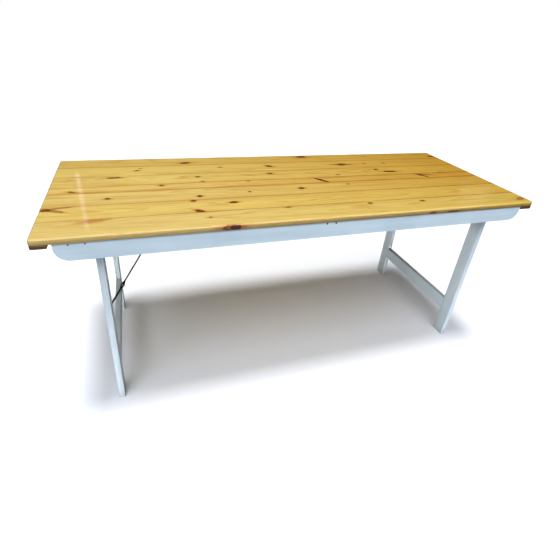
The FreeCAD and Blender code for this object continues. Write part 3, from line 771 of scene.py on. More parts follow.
# ---------------------------------------------------------------- other finishes
@dataclass(frozen=True)
class BrushedPaint:
    """Oil paint brushed on planed pine. It is a pale blue-white satin with faint strokes along the timber.

    Its painted shade, which stands in for the shade right under the boards, darkens upwards between two
    heights in metres. By default they are out of reach.
    """

    name: str
    along: Axis
    colour: str = "#cbd8df"
    shade: str = "#bacad3"
    primer: str = "#d9c79c"
    nail_stain: str = "#26221f"
    floor_dirt: str = "#8b8a84"
    painted_shade_colour: str = "#4b565d"
    seed: float = 0.0
    painted_shade_heights: tuple[float, float] = (10.0, 10.1)
    stain_reach: tuple[float, float] = (4.6 * MM, 3.2 * MM)

    def dirt(self, graph: Graph, here: Value, cloud: Node, nails: Sequence[Vector]) -> list[tuple[Node, str]]:
        """What lies over the sound paint, from the lowest layer up: worn chips, nail stains, floor dirt, and
        painted shade under the boards.

        Args:
            graph: The material's graph.
            here: The object's coordinates.
            cloud: A slow pattern.
            nails: Places, in metres, where a nail head stains the paint.

        Returns:
            The strength and the colour of each layer.
        """
        layers = []
        # Knocks along the edges let the primer and the wood show.
        worn = graph.add("ShaderNodeAttribute", attribute_name="wear").outputs["Fac"]
        chips = graph.add("ShaderNodeTexNoise", {"Vector": here, "Scale": 85.0, "Detail": 4.0,
                                                 "Roughness": 0.6})
        patches = graph.add("ShaderNodeTexNoise", {"Vector": here, "Scale": 5.0, "Detail": 1.0})
        chips = graph.add("ShaderNodeMath", {0: chips, 1: patches}, operation="ADD")
        chips = graph.add("ShaderNodeMath", {0: worn, 1: 0.17, 2: chips}, operation="MULTIPLY_ADD")
        chips = graph.add("ShaderNodeMapRange", {"Value": chips, "From Min": 1.36, "From Max": 1.4})
        layers.append((chips, self.primer))
        # The nails at mid-length have stained the paint further than those at the end.
        for nail in nails:
            reach = self.stain_reach[0] if abs(nail.x) < 0.1 else self.stain_reach[1]
            off = graph.add("ShaderNodeVectorMath", {0: here, 1: tuple(nail)}, operation="DISTANCE")
            stain = graph.add("ShaderNodeMapRange", {"Value": off.outputs["Value"], "From Min": reach,
                                                     "From Max": reach - 2 * MM, "To Max": 0.9},
                              interpolation_type="SMOOTHSTEP")
            layers.append((stain, self.nail_stain))
        # Scuffs and floor dirt on the lowest few centimetres of anything that stands on the floor.
        height = graph.add("ShaderNodeSeparateXYZ", {0: here}).outputs["Z"]
        low = graph.add("ShaderNodeMapRange", {"Value": height, "From Min": 0.05, "From Max": 0.0,
                                               "To Max": 0.5}, interpolation_type="SMOOTHSTEP")
        scuffs = graph.add("ShaderNodeMath", {0: low, 1: cloud}, operation="MULTIPLY")
        layers.append((scuffs, self.floor_dirt))
        # Painted shade right under the boards: the tops of the legs and the aprons' upper edge darken
        # upwards.
        corner = graph.add("ShaderNodeMapRange", {"Value": height, "From Min": self.painted_shade_heights[0],
                                                  "From Max": self.painted_shade_heights[1], "To Max": 0.8},
                           interpolation_type="SMOOTHSTEP")
        layers.append((corner, self.painted_shade_colour))
        return layers

    def build(self, nails: Sequence[Vector] = ()) -> Material:
        """Builds the material.

        Args:
            nails: Places, in metres, where a nail head stains the paint.

        Returns:
            The material.
        """
        material, graph = new_material(self.name)
        here = graph.add("ShaderNodeTexCoord").outputs["Object"]
        # Bristle marks are about 0.4 mm apart; 1.5 mm is the finest that still shows.
        scale = [650.0] * 3
        scale[self.along.value] = 6.0
        strokes_at = graph.add("ShaderNodeMapping", {"Vector": here, "Scale": tuple(scale),
                                                     "Location": (self.seed,) * 3})
        strokes = graph.add("ShaderNodeTexNoise", {"Vector": strokes_at, "Scale": 1.0, "Detail": 3.0,
                                                   "Roughness": 0.55})
        scale = [55.0] * 3
        scale[self.along.value] = 2.5
        bands_at = graph.add("ShaderNodeMapping", {"Vector": here, "Scale": tuple(scale)})
        bands = graph.add("ShaderNodeTexNoise", {"Vector": bands_at, "Scale": 1.0, "Detail": 2.0})
        cloud = graph.add("ShaderNodeTexNoise", {"Vector": here, "Scale": 7.0, "Detail": 3.0})
        tone = graph.add("ShaderNodeMath", {0: bands, 1: cloud}, operation="ADD")
        tone = graph.add("ShaderNodeMapRange", {"Value": tone, "From Min": 0.75, "From Max": 1.25,
                                                "To Max": 0.75})
        colour = graph.add("ShaderNodeMix", {"Factor": tone, "A": srgb(self.colour), "B": srgb(self.shade)},
                           data_type="RGBA")
        for amount, layer in self.dirt(graph, here, cloud, nails):
            colour = graph.add("ShaderNodeMix", {"Factor": amount, "A": colour, "B": srgb(layer)},
                               data_type="RGBA")
        rough = graph.add("ShaderNodeMapRange", {"Value": strokes, "From Min": 0.3, "From Max": 0.7,
                                                 "To Min": 0.34, "To Max": 0.48})
        relief = graph.add("ShaderNodeMath", {0: bands, 1: 2.0, 2: strokes}, operation="MULTIPLY_ADD")
        bump = graph.add("ShaderNodeBump", {"Height": relief, "Strength": 0.3, "Distance": 0.12 * MM})
        shader = graph.add("ShaderNodeBsdfPrincipled", {"Base Color": colour, "Roughness": rough,
                                                        "Normal": bump, "IOR": 1.48})
        graph.add("ShaderNodeOutputMaterial", {"Surface": shader})
        return material


@dataclass(frozen=True)
class MetalFinish:
    """Bare or plated mild steel. Its hue and mottle say which, and its scratches run at random."""

    name: str
    light: str
    dark: str
    rust: str
    roughness: tuple[float, float]
    grain: float
    rusted: float
    painted_from: float = 10.0
    paint: str = "#bfd2dd"

    def build(self) -> Material:
        """Builds the material. Beyond `painted_from` along X the last coat of paint covers the metal.

        Returns:
            The material.
        """
        material, graph = new_material(self.name)
        here = graph.add("ShaderNodeTexCoord").outputs["Object"]
        mottle = graph.add("ShaderNodeTexVoronoi", {"Vector": here, "Scale": self.grain, "Randomness": 1.0},
                           feature="SMOOTH_F1")
        cloud = graph.add("ShaderNodeTexNoise", {"Vector": here, "Scale": self.grain * 0.35, "Detail": 4.0})
        mix = graph.add("ShaderNodeMath", {0: mottle, 1: cloud}, operation="MULTIPLY")
        mix = graph.add("ShaderNodeMapRange", {"Value": mix, "From Min": 0.05, "From Max": 0.35})
        colour = graph.add("ShaderNodeMix", {"Factor": mix, "A": srgb(self.dark), "B": srgb(self.light)},
                           data_type="RGBA")
        spots = graph.add("ShaderNodeTexNoise", {"Vector": here, "Scale": 160.0, "Detail": 5.0,
                                                 "Roughness": 0.7})
        spots = graph.add("ShaderNodeMapRange", {"Value": spots, "From Min": 0.72 - self.rusted,
                                                 "From Max": 0.78 - self.rusted})
        colour = graph.add("ShaderNodeMix", {"Factor": spots, "A": colour, "B": srgb(self.rust)},
                           data_type="RGBA")
        across = graph.add("ShaderNodeSeparateXYZ", {0: here}).outputs["X"]
        painted = graph.add("ShaderNodeMath", {0: across, 1: self.painted_from}, operation="GREATER_THAN")
        colour = graph.add("ShaderNodeMix", {"Factor": painted, "A": colour, "B": srgb(self.paint)},
                           data_type="RGBA")
        bare = graph.add("ShaderNodeMath", {0: spots, 1: painted}, operation="MAXIMUM")
        metal = graph.add("ShaderNodeMapRange", {"Value": bare, "To Min": 1.0, "To Max": 0.0})
        low, high = self.roughness
        rough = graph.add("ShaderNodeMapRange", {"Value": cloud, "From Min": 0.3, "From Max": 0.7,
                                                 "To Min": low, "To Max": high})
        bump = graph.add("ShaderNodeBump", {"Height": mottle, "Strength": 0.15, "Distance": 0.1 * MM})
        shader = graph.add("ShaderNodeBsdfPrincipled", {"Base Color": colour, "Metallic": metal,
                                                        "Roughness": rough, "Normal": bump})
        graph.add("ShaderNodeOutputMaterial", {"Surface": shader})
        return material


@dataclass(frozen=True)
class StudioPaper:
    """Seamless matt paper, a plain pale white with almost no grain."""

    name: str = "studio_paper"
    colour: str = "#f0f3f8"

    def build(self) -> Material:
        """Builds the material.

        Returns:
            The material.
        """
        material, graph = new_material(self.name)
        shader = graph.add("ShaderNodeBsdfPrincipled", {"Base Color": srgb(self.colour), "Roughness": 0.9,
                                                        "Specular IOR Level": 0.1})
        graph.add("ShaderNodeOutputMaterial", {"Surface": shader})
        return material


# ---------------------------------------------------------------- the top
KNOTS: dict[int, tuple[Knot, ...]] = {
    7: (Knot(-416, 273, 20, 10, 4, 0.9), Knot(148, 318, 22, 11), Knot(884, 275, 14, 10)),
    6: (Knot(-618, 190, 10, 6, 10, 0.75), Knot(-604, 215, 7, 4, strength=0.5),
        Knot(-276, 202, 10, 6, strength=0.6), Knot(-56, 197, 14, 10, -28), Knot(304, 188, 20, 13, 3),
        Knot(330, 186, 38, 3.5, 4, 0.75), Knot(270, 190, 30, 3, -3, 0.6), Knot(427, 192, 7, 6, strength=0.6),
        Knot(535, 190, 7, 6, strength=0.65)),
    5: (Knot(-702, 116, 23, 8, strength=0.7), Knot(-389, 94, 9, 7, strength=0.7),
        Knot(-83, 101, 12, 8, strength=0.78), Knot(218, 56, 8, 6, strength=0.6),
        Knot(440, 102, 9, 8, strength=0.95), Knot(494, 71, 28, 9, -6, 0.9),
        Knot(-378, 40, 7, 6, strength=0.6), Knot(755, 34, 9, 6, strength=0.5)),
    4: (Knot(-536, 15, 8, 7, strength=0.85), Knot(-199, 28, 6, 7), Knot(114, -4, 35, 7, -51, redness=0.7),
        Knot(618, 9, 38, 7, -50, redness=0.4), Knot(640, 14, 36, 4, -18, 0.8),
        Knot(-837, -14, 12, 6, -20, 0.8)),
    3: (Knot(-720, -88, 8, 7, strength=0.8), Knot(-412, -106, 8, 8, strength=0.95),
        Knot(-223, -88, 5, 6, strength=0.8), Knot(-8, -79, 10, 9, strength=0.88),
        Knot(207, -60, 5, 5, strength=0.95)),
    2: (Knot(-440, -144, 8, 8, 20, redness=0.8), Knot(-305, -177, 14, 8),
        Knot(-432, -232, 15, 9.5, -38, redness=0.9), Knot(-868, -147, 46, 4.4, 9, 0.5, 0.5),
        Knot(-872, -166, 30, 7, -24, 0.5, 0.5), Knot(-896, -156, 14, 10, 0, 0.75, 0.4)),
    1: (Knot(-126, -246, 9, 5), Knot(-406, -285, 5, 4, strength=0.65), Knot(196, -258, 7, 6),
        Knot(424, -267, 8, 7, strength=0.8), Knot(-752, -254, 26, 11, 8, 0.9, core=0.1),
        Knot(-352, -348, 26, 8, 0, 0.85, 0.8, z=715, tilt=55),
        Knot(-339, -348, 16, 7, 0, 1.0, 0.1, z=715, tilt=55), Knot(878, -312, 17, 10, 20, 0.5, 0.6),
        Knot(418, -347, 11, 4, 0, 0.8, 0.2, z=710, tilt=65),
        Knot(512, -347, 24, 4, 0, 0.8, 0.2, z=708, tilt=65)),
}


@dataclass(frozen=True)
class BoardLook:
    """What makes one board differ from the next: its wood colours, the tree's heart, its rings and joints."""

    early: str
    far: str
    late: str
    heart_off: float
    heart_down: float
    lean: float
    ring: float
    glows: tuple[float, float] = (0.25, 0.25)


BOARD_LOOKS: dict[int, BoardLook] = {
    1: BoardLook("#dbc071", "#dcba50", "#b98736", 12.0, 640.0, 0.022, 5.0, (0.0, 0.15)),
    2: BoardLook("#dfc36b", "#daaf43", "#b98331", -6.0, 662.0, -0.028, 4.4, (0.2, 0.25)),
    3: BoardLook("#dfc370", "#d3a32f", "#b27a2c", 40.0, 610.0, 0.012, 4.0, (0.3, 0.45)),
    4: BoardLook("#e2c26c", "#d3a026", "#b0701f", -30.0, 600.0, 0.010, 3.6, (0.6, 0.5)),
    5: BoardLook("#e2c66d", "#d5a42d", "#b27a2b", 8.0, 655.0, 0.034, 4.6, (0.4, 0.3)),
    6: BoardLook("#e4c76c", "#d09d26", "#b37c2e", -45.0, 620.0, -0.014, 4.2),
    7: BoardLook("#dcba5e", "#cf9e26", "#a87128", 20.0, 650.0, 0.026, 4.4),
}


@dataclass
class BoardedTop:
    """Seven tongue-and-groove boards, side by side, rounded together round the edge of the table."""

    count: int = 7
    corner: float = 10 * MM
    top_round: float = 7 * MM
    under_round: float = 5 * MM
    bevel: float = 0.9 * MM
    bevel_spread: float = 0.45 * MM
    crown: float = 0.22 * MM
    tongue: tuple[float, float] = (6 * MM, 6 * MM)
    groove: tuple[float, float] = (6.5 * MM, 6.4 * MM)
    pitch: float = 16 * MM
    across_pitch: float = 11 * MM
    past_round: tuple[float, float, float] = (8.5 * MM, 14 * MM, 22 * MM)
    cap_strip: float = 12 * MM

    def __post_init__(self) -> None:
        """Reads the top's outline and the seams from the frame."""
        boxes = [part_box(f"top_board_{i}") for i in range(1, self.count + 1)]
        self.half_length = boxes[0][1].x
        self.half_width = boxes[-1][1].y
        self.height = boxes[0][1].z
        self.under = boxes[0][0].z
        self.seams = [low.y for low, _ in boxes] + [self.half_width]

    def insets(self) -> list[float]:
        """Distances from an outer edge where the rounding needs points."""
        arc = [inset for inset, _ in round_over(self.top_round, 6)]
        return sorted([*arc, *self.past_round, self.corner])

    def stations(self) -> list[float]:
        """Places along the top, close together near the ends.

        Returns:
            The places, from left to right.
        """
        near = self.insets()
        reach = self.half_length - near[-1]
        count = math.ceil(2 * reach / self.pitch)
        middle = [-reach + 2 * reach * i / count for i in range(1, count)]
        return [-self.half_length + d for d in near] + middle + [self.half_length - d for d in reversed(near)]

    def columns(self, row: int) -> list[float]:
        """Places across one board, close together at its bevels and at the table's outer edge.

        Args:
            row: The board's number from 0.

        Returns:
            The places, from front to back.
        """
        front, back = self.seams[row], self.seams[row + 1]
        seam = [0.0, 0.3, 1.0, 2.4]
        first = [front + d for d in self.insets()] if row == 0 else [front + self.bevel * s for s in seam]
        last = [back - d for d in reversed(self.insets())] if row == self.count - 1 else [
            back - self.bevel * s for s in reversed(seam)]
        start, end = first[-1], last[0]
        count = max(3, round((end - start) / self.across_pitch))
        return first + [start + (end - start) * i / count for i in range(1, count)] + last

    def seam_drop(self, y: float, x: float, row: int) -> float:
        """How far a board's bevel and crown lie under the top's level.

        Args:
            y: Place across.
            x: Place along.
            row: The board's number from 0.

        Returns:
            The drop in metres.
        """
        front, back = self.seams[row], self.seams[row + 1]
        middle, half = (front + back) / 2, (back - front) / 2
        drop = self.crown * ((y - middle) / half) ** 2
        drop += 0.05 * MM * (0.5 + 0.5 * noise.noise(Vector((x * 3.1, y * 11, row * 7.3))))
        for seam, outer in ((front, row == 0), (back, row == self.count - 1)):
            if outer:
                continue
            width = self.bevel + self.bevel_spread * noise.noise(Vector((x * 7.7, seam * 50, 3.1)))
            near = min(1.0, abs(y - seam) / width)
            drop += width * (1 - near) ** 1.6
        return drop

    def point(self, x: float, y: float, row: int, upper: bool) -> Vector:
        """A point of the top's or underside's surface, rounded at the outer edge and corners.

        Args:
            x: Place along, in the square outline.
            y: Place across, in the square outline.
            row: The board's number from 0.
            upper: True for the top and False for the underside.

        Returns:
            The point.
        """
        inset_x, inset_y = self.half_length - abs(x), self.half_width - abs(y)
        inset = min(inset_x, inset_y)
        px, py = abs(x), abs(y)
        if inset_x < self.corner and inset_y < self.corner:
            out = Vector((self.corner - inset_x, self.corner - inset_y))
            if out.length > 0:
                out = out.normalized() * max(out)
            px = self.half_length - self.corner + out.x
            py = self.half_width - self.corner + out.y
        radius = self.top_round if upper else self.under_round
        inset = max(0.0, inset)
        drop = 0.0
        if inset < radius:
            drop = radius - math.sqrt(max(0.0, radius ** 2 - (radius - inset) ** 2))
        if upper:
            z = self.height - max(drop, self.seam_drop(y, x, row) * min(1.0, inset / radius))
        else:
            z = self.under + drop
        return Vector((math.copysign(px, x), math.copysign(py, y), z))

    def tongue_side(self, y: float, top: float, sign: float,
                    size: tuple[float, float]) -> list[tuple[float, float]]:
        """Side profile of a tongue or groove, from the top down, as (y, z).

        Args:
            y: The seam.
            top: Height of the surface at the seam.
            sign: Which way the tongue or groove runs from the seam.
            size: Its depth and height.

        Returns:
            The four points of the profile.
        """
        middle = (self.height + self.under) / 2
        depth, tall = size
        high, low = min(middle + tall / 2, top - 0.1 * MM), middle - tall / 2
        far = y + sign * depth
        return [(y, high), (far, high), (far, low), (y, low)]

    def board(self, row: int) -> Mesh:
        """One board as a closed mesh.

        Args:
            row: The board's number from 0, at the front.

        Returns:
            The mesh.
        """
        columns = self.columns(row)
        first, last = row == 0, row == self.count - 1
        build = bmesh.new()
        rings = []
        for x in self.stations():
            upper = [self.point(x, y, row, True) for y in columns]
            lower = [self.point(x, y, row, False) for y in columns]
            ring = list(upper)
            if not last:
                ring += [Vector((upper[-1].x, y, z)) for y, z in
                         self.tongue_side(columns[-1], upper[-1].z, 1, self.tongue)]
            ring += list(reversed(lower))
            if not first:
                ring += [Vector((upper[0].x, y, z)) for y, z in
                         reversed(self.tongue_side(columns[0], upper[0].z, 1, self.groove))]
            rings.append([build.verts.new(p) for p in ring])
        loft(build, rings)
        for ring in (rings[0], rings[-1]):
            self.close_end(build, ring, columns, first, last)
        return mesh_from(f"top_board_{row + 1}", build)

    def close_end(self, build: BMesh, ring: list, columns: list[float], first: bool,
                  last: bool) -> None:
        """Closes one end of a board: upright strips round a table corner, and one face for the rest.

        Args:
            build: The board's bmesh.
            ring: The end's ring of points.
            columns: Places across the board.
            first: True for the front board.
            last: True for the back board.
        """
        wide = len(columns)
        upper = ring[:wide]
        side = 0 if last else 4
        lower = list(reversed(ring[wide + side:2 * wide + side]))
        strip = [i for i, y in enumerate(columns) if self.half_width - abs(y) < self.cap_strip]
        start, end = 0, wide - 1
        if first:
            end_of_strip = strip[-1] + 1
            for i in range(end_of_strip):
                build.faces.new((upper[i], upper[i + 1], lower[i + 1], lower[i]))
            start = end_of_strip
        if last:
            start_of_strip = strip[0] - 1
            for i in range(start_of_strip, wide - 1):
                build.faces.new((upper[i], upper[i + 1], lower[i + 1], lower[i]))
            end = start_of_strip
        outline = upper[start:end + 1] + ring[wide:wide + side] + list(reversed(lower[start:end + 1]))
        outline += ring[2 * wide + side:]
        face = build.faces.new(outline)
        bmesh.ops.triangulate(build, faces=[face], quad_method="BEAUTY", ngon_method="EAR_CLIP")

    def build(self, figure: NodeTree, knot: NodeTree) -> None:
        """Builds and finishes the seven boards.

        Args:
            figure: The shared group of rings and fibres.
            knot: The shared group of one knot.
        """
        for row in range(self.count):
            number = row + 1
            look = BOARD_LOOKS[number]
            front, back = self.seams[row] / MM, self.seams[row + 1] / MM
            finish = TimberFinish(
                name=f"varnished_pine_{number}", early=look.early, far=look.far, late=look.late,
                glows=look.glows,
                pith=((front + back) / 2 + look.heart_off, look.heart_down), lean=look.lean, ring=look.ring,
                seed=number * 11.3, knots=KNOTS[number],
                seams=(front if row else front - 40, back if row < self.count - 1 else back + 40))
            name = f"top_board_{number}"
            piece = make_object(f"pine_board_{number}", self.board(row), finish.build(figure, knot))
            install(piece, body_of(name), "varnished_pine", name)


# ---------------------------------------------------------------- timber under the top
@dataclass
class UnderTimber:
    """The varnished end battens and the bare hinge bearers and middle batten under the boards."""

    batten_sizes: tuple[float, float] = (4 * MM, 3 * MM)
    bearer_sizes: tuple[float, float] = (1.5 * MM, 0.6 * MM)
    sharp: float = 0.4 * MM

    def lay(self, node: str, name: str, slot: str, sizes: tuple[float, float],
            material: Material) -> None:
        """Builds one cross piece, with rounded lower edges and crisp upper ones, and installs it.

        Args:
            node: The CAD node it replaces.
            name: The new piece's name.
            slot: The object's material slot.
            sizes: The lower edges' radius and the ends' chamfer.
            material: Its finish.
        """
        round_edge, end = sizes
        corners = (round_edge, self.sharp, self.sharp, round_edge)
        piece = make_object(name, bar_for(node, Axis.Y, arrises=corners, end_arris=end), material)
        install(piece, body_of(node), slot, node)

    def build(self, figure: NodeTree, knot: NodeTree) -> None:
        """Builds and finishes the five cross pieces.

        Args:
            figure: The shared group of rings and fibres.
            knot: The shared group of one knot.
        """
        for number, side in enumerate(SIDES):
            node = f"{side}_end_batten"
            middle = -centre_of(node).x / MM
            # The same varnish as the boards over darker wood, darkened further as painted shade from under
            # the top: a brown edge at each end of the top.
            finish = TimberFinish(
                name=f"varnished_batten_{side}", early="#6d4c1a", late="#432a0b", along=Axis.Y,
                pith=(middle, 640.0), ring=3.6, seed=50.0 + number, contrast=1.2,
                knots=(Knot(150 - 260 * number, middle, 12, 7),))
            self.lay(node, f"{side}_batten", "varnished_pine", self.batten_sizes,
                     finish.build(figure, knot))
        for number, node in enumerate(("left_hinge_bearer", "middle_batten", "right_hinge_bearer")):
            middle = -centre_of(node).x / MM
            # Pine left bare under the top: pale, dull, its knots a plain brown.
            finish = TimberFinish(
                name=f"bare_pine_{number + 1}", early="#dcc08c", late="#b98a50", heart="#6d4522",
                rim="#4a2c14", halo="#c8955a", varnished=False, along=Axis.Y, pith=(middle + 15, 630.0),
                ring=4.0, seed=60.0 + number * 5, contrast=0.9,
                knots=(Knot(-120 + 130 * number, middle + 12, 11, 8),
                       Knot(210 - 90 * number, middle - 20, 8, 6)))
            self.lay(node, f"pine_{node}", "bare_pine", self.bearer_sizes,
                     finish.build(figure, knot))


# ---------------------------------------------------------------- painted timber
@dataclass
class Aprons:
    """The front and back aprons: long painted boards whose lower end corners sweep up in an arc."""

    arc: float = 42 * MM
    arris: float = 2 * MM
    arc_steps: int = 14
    pitch: float = 24 * MM
    waver: float = 0.15 * MM
    rim: float = 1.5 * MM

    def outline(self, low: Vector, high: Vector) -> list[tuple[float, float]]:
        """The apron's outline, anticlockwise seen from the front, from its top left corner.

        Args:
            low: The low corner of its box.
            high: The high corner.

        Returns:
            The outline as (x, z).
        """
        turns = [math.pi / 2 * i / self.arc_steps for i in range(self.arc_steps + 1)]
        left = [(low.x + self.arc * (1 - math.cos(t)), low.z + self.arc * (1 - math.sin(t))) for t in turns]
        right = [(high.x - (x - low.x), z) for x, z in reversed(left)]
        reach = right[0][0] - left[-1][0]
        count = math.ceil(reach / self.pitch)
        bottom = []
        for i in range(1, count):
            x = left[-1][0] + reach * i / count
            rise = 0.5 + 0.5 * noise.noise(Vector((x * 6, low.y * 9, 0.4)))
            bottom.append((x, low.z + self.waver * rise))
        return [(low.x, high.z)] + left + bottom + right + [(high.x, high.z)]

    def mesh(self, node: str) -> Mesh:
        """Lofts the outline through the apron's thickness, with a rounded arris on both faces.

        Args:
            node: The CAD node of the apron.

        Returns:
            The mesh, with the attribute "wear" at 1 along its edges.
        """
        low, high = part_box(node)
        outline = self.outline(low, high)
        normals = []
        for i in range(len(outline)):
            before, after = outline[i - 1], outline[(i + 1) % len(outline)]
            run = Vector((after[0] - before[0], after[1] - before[1])).normalized()
            normals.append(Vector((-run.y, run.x)))
        normals[0], normals[-1] = Vector((1, 0)), Vector((-1, 0))
        steps = round_over(self.arris, 4)
        depths = [(low.y, self.arris + self.rim, 0.0)]
        depths += [(low.y + drop, inset, 1.0 - drop / self.arris) for drop, inset in steps]
        depths += [(high.y - drop, inset, 1.0 - drop / self.arris) for drop, inset in reversed(steps)]
        depths += [(high.y, self.arris + self.rim, 0.0)]
        build = bmesh.new()
        wear = build.verts.layers.float.new("wear")
        rings = []
        for y, inset, worn in depths:
            ring = []
            for (x, z), normal in zip(outline, normals):
                vert = build.verts.new((x + normal.x * inset, y, z + normal.y * inset))
                vert[wear] = worn
                ring.append(vert)
            rings.append(ring)
        loft(build, rings)
        build.faces.new(rings[0])
        build.faces.new(rings[-1])
        return mesh_from(node, build)

    def build(self, nails: Sequence[Vector]) -> None:
        """Builds and finishes both aprons.

        Args:
            nails: The middles of the nail heads, which stain the paint round them.
        """
        for number, side in enumerate(("front", "back")):
            name = f"{side}_apron"
            low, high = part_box(name)
            spots = [n for n in nails if low.y - 2 * MM < n.y < high.y + 2 * MM and n.x < 0.7]
            # The aprons' upper edge gets painted shade under the boards' overhang.
            finish = BrushedPaint(f"brushed_paint_{name}", Axis.X, "#ccdee7", "#bbd0db", seed=3.0 + number,
                                  painted_shade_heights=(0.696, 0.7055))
            piece = make_object(f"painted_{name}", self.mesh(name), finish.build(spots))
            install(piece, body_of(name), "painted_wood", name)


@dataclass
class LegFrame:
    """One painted leg frame: two legs, a top rail and a stretcher."""

    side: str
    arris: float = 1.5 * MM
    foot_arris: float = 1.2 * MM
    joint_arris: float = 0.3 * MM

    def build(self, upright: Material, level: Material) -> None:
        """Builds and finishes the four pieces of the frame.

        Args:
            upright: Paint brushed along Z.
            level: Paint brushed along Y.
        """
        members = {"front_leg": (Axis.Z, upright), "back_leg": (Axis.Z, upright), "top_rail": (Axis.Y, level),
                   "stretcher": (Axis.Y, level)}
        for name, (along, paint) in members.items():
            node = f"{self.side}_{name}"
            end = self.foot_arris if along is Axis.Z else self.joint_arris
            mesh = bar_for(node, along, arrises=(self.arris,) * 4, end_arris=end)
            piece = make_object(f"painted_{node}", mesh, paint)
            install(piece, body_of(node), "painted_wood", node)


# ---------------------------------------------------------------- stays
@dataclass
class StayArm:
    """A round steel rod whose ends are hammered flat into drilled eyes."""

    side: str
    part: str
    eye_radius: float = 7 * MM
    eye_thick: float = 2.4 * MM
    hole: float = 2.36 * MM
    neck: float = 17 * MM
    narrows: float = 5.5 * MM
    thickens: float = 7 * MM
    tip_round: float = 0.9 * MM
    throat: float = 0.8
    steps: int = 20
    radii: tuple[float, float] = (3.25 * MM, 2.5 * MM)

    def pivot(self, fitting: str) -> Vector:
        """The middle of one of this side's pivots, at Y = 0."""
        middle = centre_of(f"{self.side}_{fitting}")
        return Vector((middle.x, 0, middle.z))

    def build(self, steel: Material) -> None:
        """Lofts the arm from eye to eye, drills it and installs it.

        Args:
            steel: The arm's finish.
        """
        name = f"{self.side}_stay_{self.part}_arm"
        lower = self.part == "lower"
        first = self.pivot("stay_leg_screw" if lower else "elbow_rivet_head")
        second = self.pivot("elbow_rivet_head" if lower else "stay_top_rivet")
        low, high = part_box(name)
        inward = 1 if self.side == "left" else -1
        outer, inner = (low.y, high.y) if inward > 0 else (high.y, low.y)
        eye_y = (outer + inward * self.eye_thick / 2, inner - inward * self.eye_thick / 2)
        radius = self.radii[0 if lower else 1]
        rod_y = outer + inward * radius if lower else inner - inward * radius
        length = (second - first).length
        along = (second - first).normalized()
        across = Vector((-along.z, 0, along.x))
        build = bmesh.new()
        rings = []
        for place in self.places(length):
            near, level = (place, eye_y[0]) if place < length / 2 else (length - place, eye_y[1])
            half_wide, half_thick, centre, power = self.section(near, level, rod_y, radius)
            ring = []
            for i in range(self.steps):
                turn = 2 * math.pi * i / self.steps
                c, s = math.cos(turn), math.sin(turn)
                w = math.copysign(abs(c) ** (2 / power), c) * half_wide
                t = math.copysign(abs(s) ** (2 / power), s) * half_thick
                point = first + along * place + across * w
                point.y = centre + t
                ring.append(build.verts.new(point))
            rings.append(ring)
        loft(build, rings)
        build.faces.new(list(reversed(rings[0])))
        build.faces.new(rings[-1])
        piece = make_object(f"{self.side}_{self.part}_stay_rod", mesh_from(name, build), steel)
        self.drill(piece, (first, second), (low.y + high.y) / 2)
        install(piece, body_of(name), "stay_steel", name)

    def places(self, length: float) -> list[float]:
        """Places along the arm from the tip of one eye to the tip of the other.

        Args:
            length: The distance between its pivots.

        Returns:
            The places, measured from the first pivot.
        """
        tip = [-self.eye_radius * math.cos(math.pi / 2 * i / 7) for i in range(7)]
        eye = [0.0, 1.5 * MM, 3 * MM, 4.5 * MM, 6 * MM]
        shoulder = self.eye_radius + 0.5 * MM
        neck = [shoulder + (self.neck - shoulder) * i / 6 for i in range(7)]
        near = tip + eye + neck
        reach = length - 2 * self.neck
        count = max(2, math.ceil(reach / (15 * MM)))
        middle = [self.neck + reach * i / count for i in range(1, count)]
        return near + middle + [length - p for p in reversed(near)]

    def ease(self, near: float, start: float) -> float:
        """Rises smoothly from 0 at `start` to 1 where the neck ends."""
        share = min(1.0, max(0.0, (near - start) / (self.neck - start)))
        return share * share * (3 - 2 * share)

    def section(self, near: float, level: float, rod_y: float,
                radius: float) -> tuple[float, float, float, float]:
        """Half width, half thickness, centre and squareness of the arm's section.

        Args:
            near: Distance from the nearer pivot, negative beyond it.
            level: Where that eye's middle lies across the table.
            rod_y: Where the rod's middle lies across the table.
            radius: The rod's radius.

        Returns:
            Half width across, half thickness, centre in Y and the section's power.
        """
        disc = math.sqrt(max(0.0, self.eye_radius ** 2 - near ** 2)) if near < self.eye_radius else 0.0
        blend = self.ease(near, self.narrows)
        thick_blend = self.ease(near, self.thickens)
        throat = self.eye_radius * self.throat * (1 - blend) + radius * blend
        half_wide = max(disc, throat) if near > 0 else max(disc, 0.6 * MM)
        half_thick = self.eye_thick / 2 * (1 - thick_blend) + radius * thick_blend
        if near < 0:
            edge = min(1.0, (self.eye_radius + near) / self.tip_round)
            half_thick *= 0.45 + 0.55 * math.sqrt(max(0.0, edge))
        centre = level * (1 - thick_blend) + rod_y * thick_blend
        return half_wide, half_thick, centre, 5.0 - 3.0 * thick_blend

    def drill(self, piece: Object, pivots: Sequence[Vector], y: float) -> None:
        """Cuts the pivot holes through both eyes.

        Args:
            piece: The arm.
            pivots: Its two pivot centres.
            y: The middle of the arm across the table.
        """
        for pivot in pivots:
            build = bmesh.new()
            place = Matrix.Translation((pivot.x, y, pivot.z)) @ Matrix.Rotation(math.pi / 2, 4, "X")
            bmesh.ops.create_cone(build, cap_ends=True, segments=24, radius1=self.hole, radius2=self.hole,
                                  depth=40 * MM, matrix=place)
            drill = make_object("drill", mesh_from("drill", build), None)
            cut = piece.modifiers.new("hole", "BOOLEAN")
            cut.object = drill
            cut.operation = "DIFFERENCE"
            cut.solver = "EXACT"
            apply_modifiers(piece)
            bpy.data.objects.remove(drill)
        piece.data.set_sharp_from_angle(angle=SMOOTH_ANGLE)


# ---------------------------------------------------------------- fasteners
class Recess(Enum):
    """The driver recess of a screw: how long its second arm is, as a share of the first."""

    CROSS = 1.0
    SLOT = 0.16


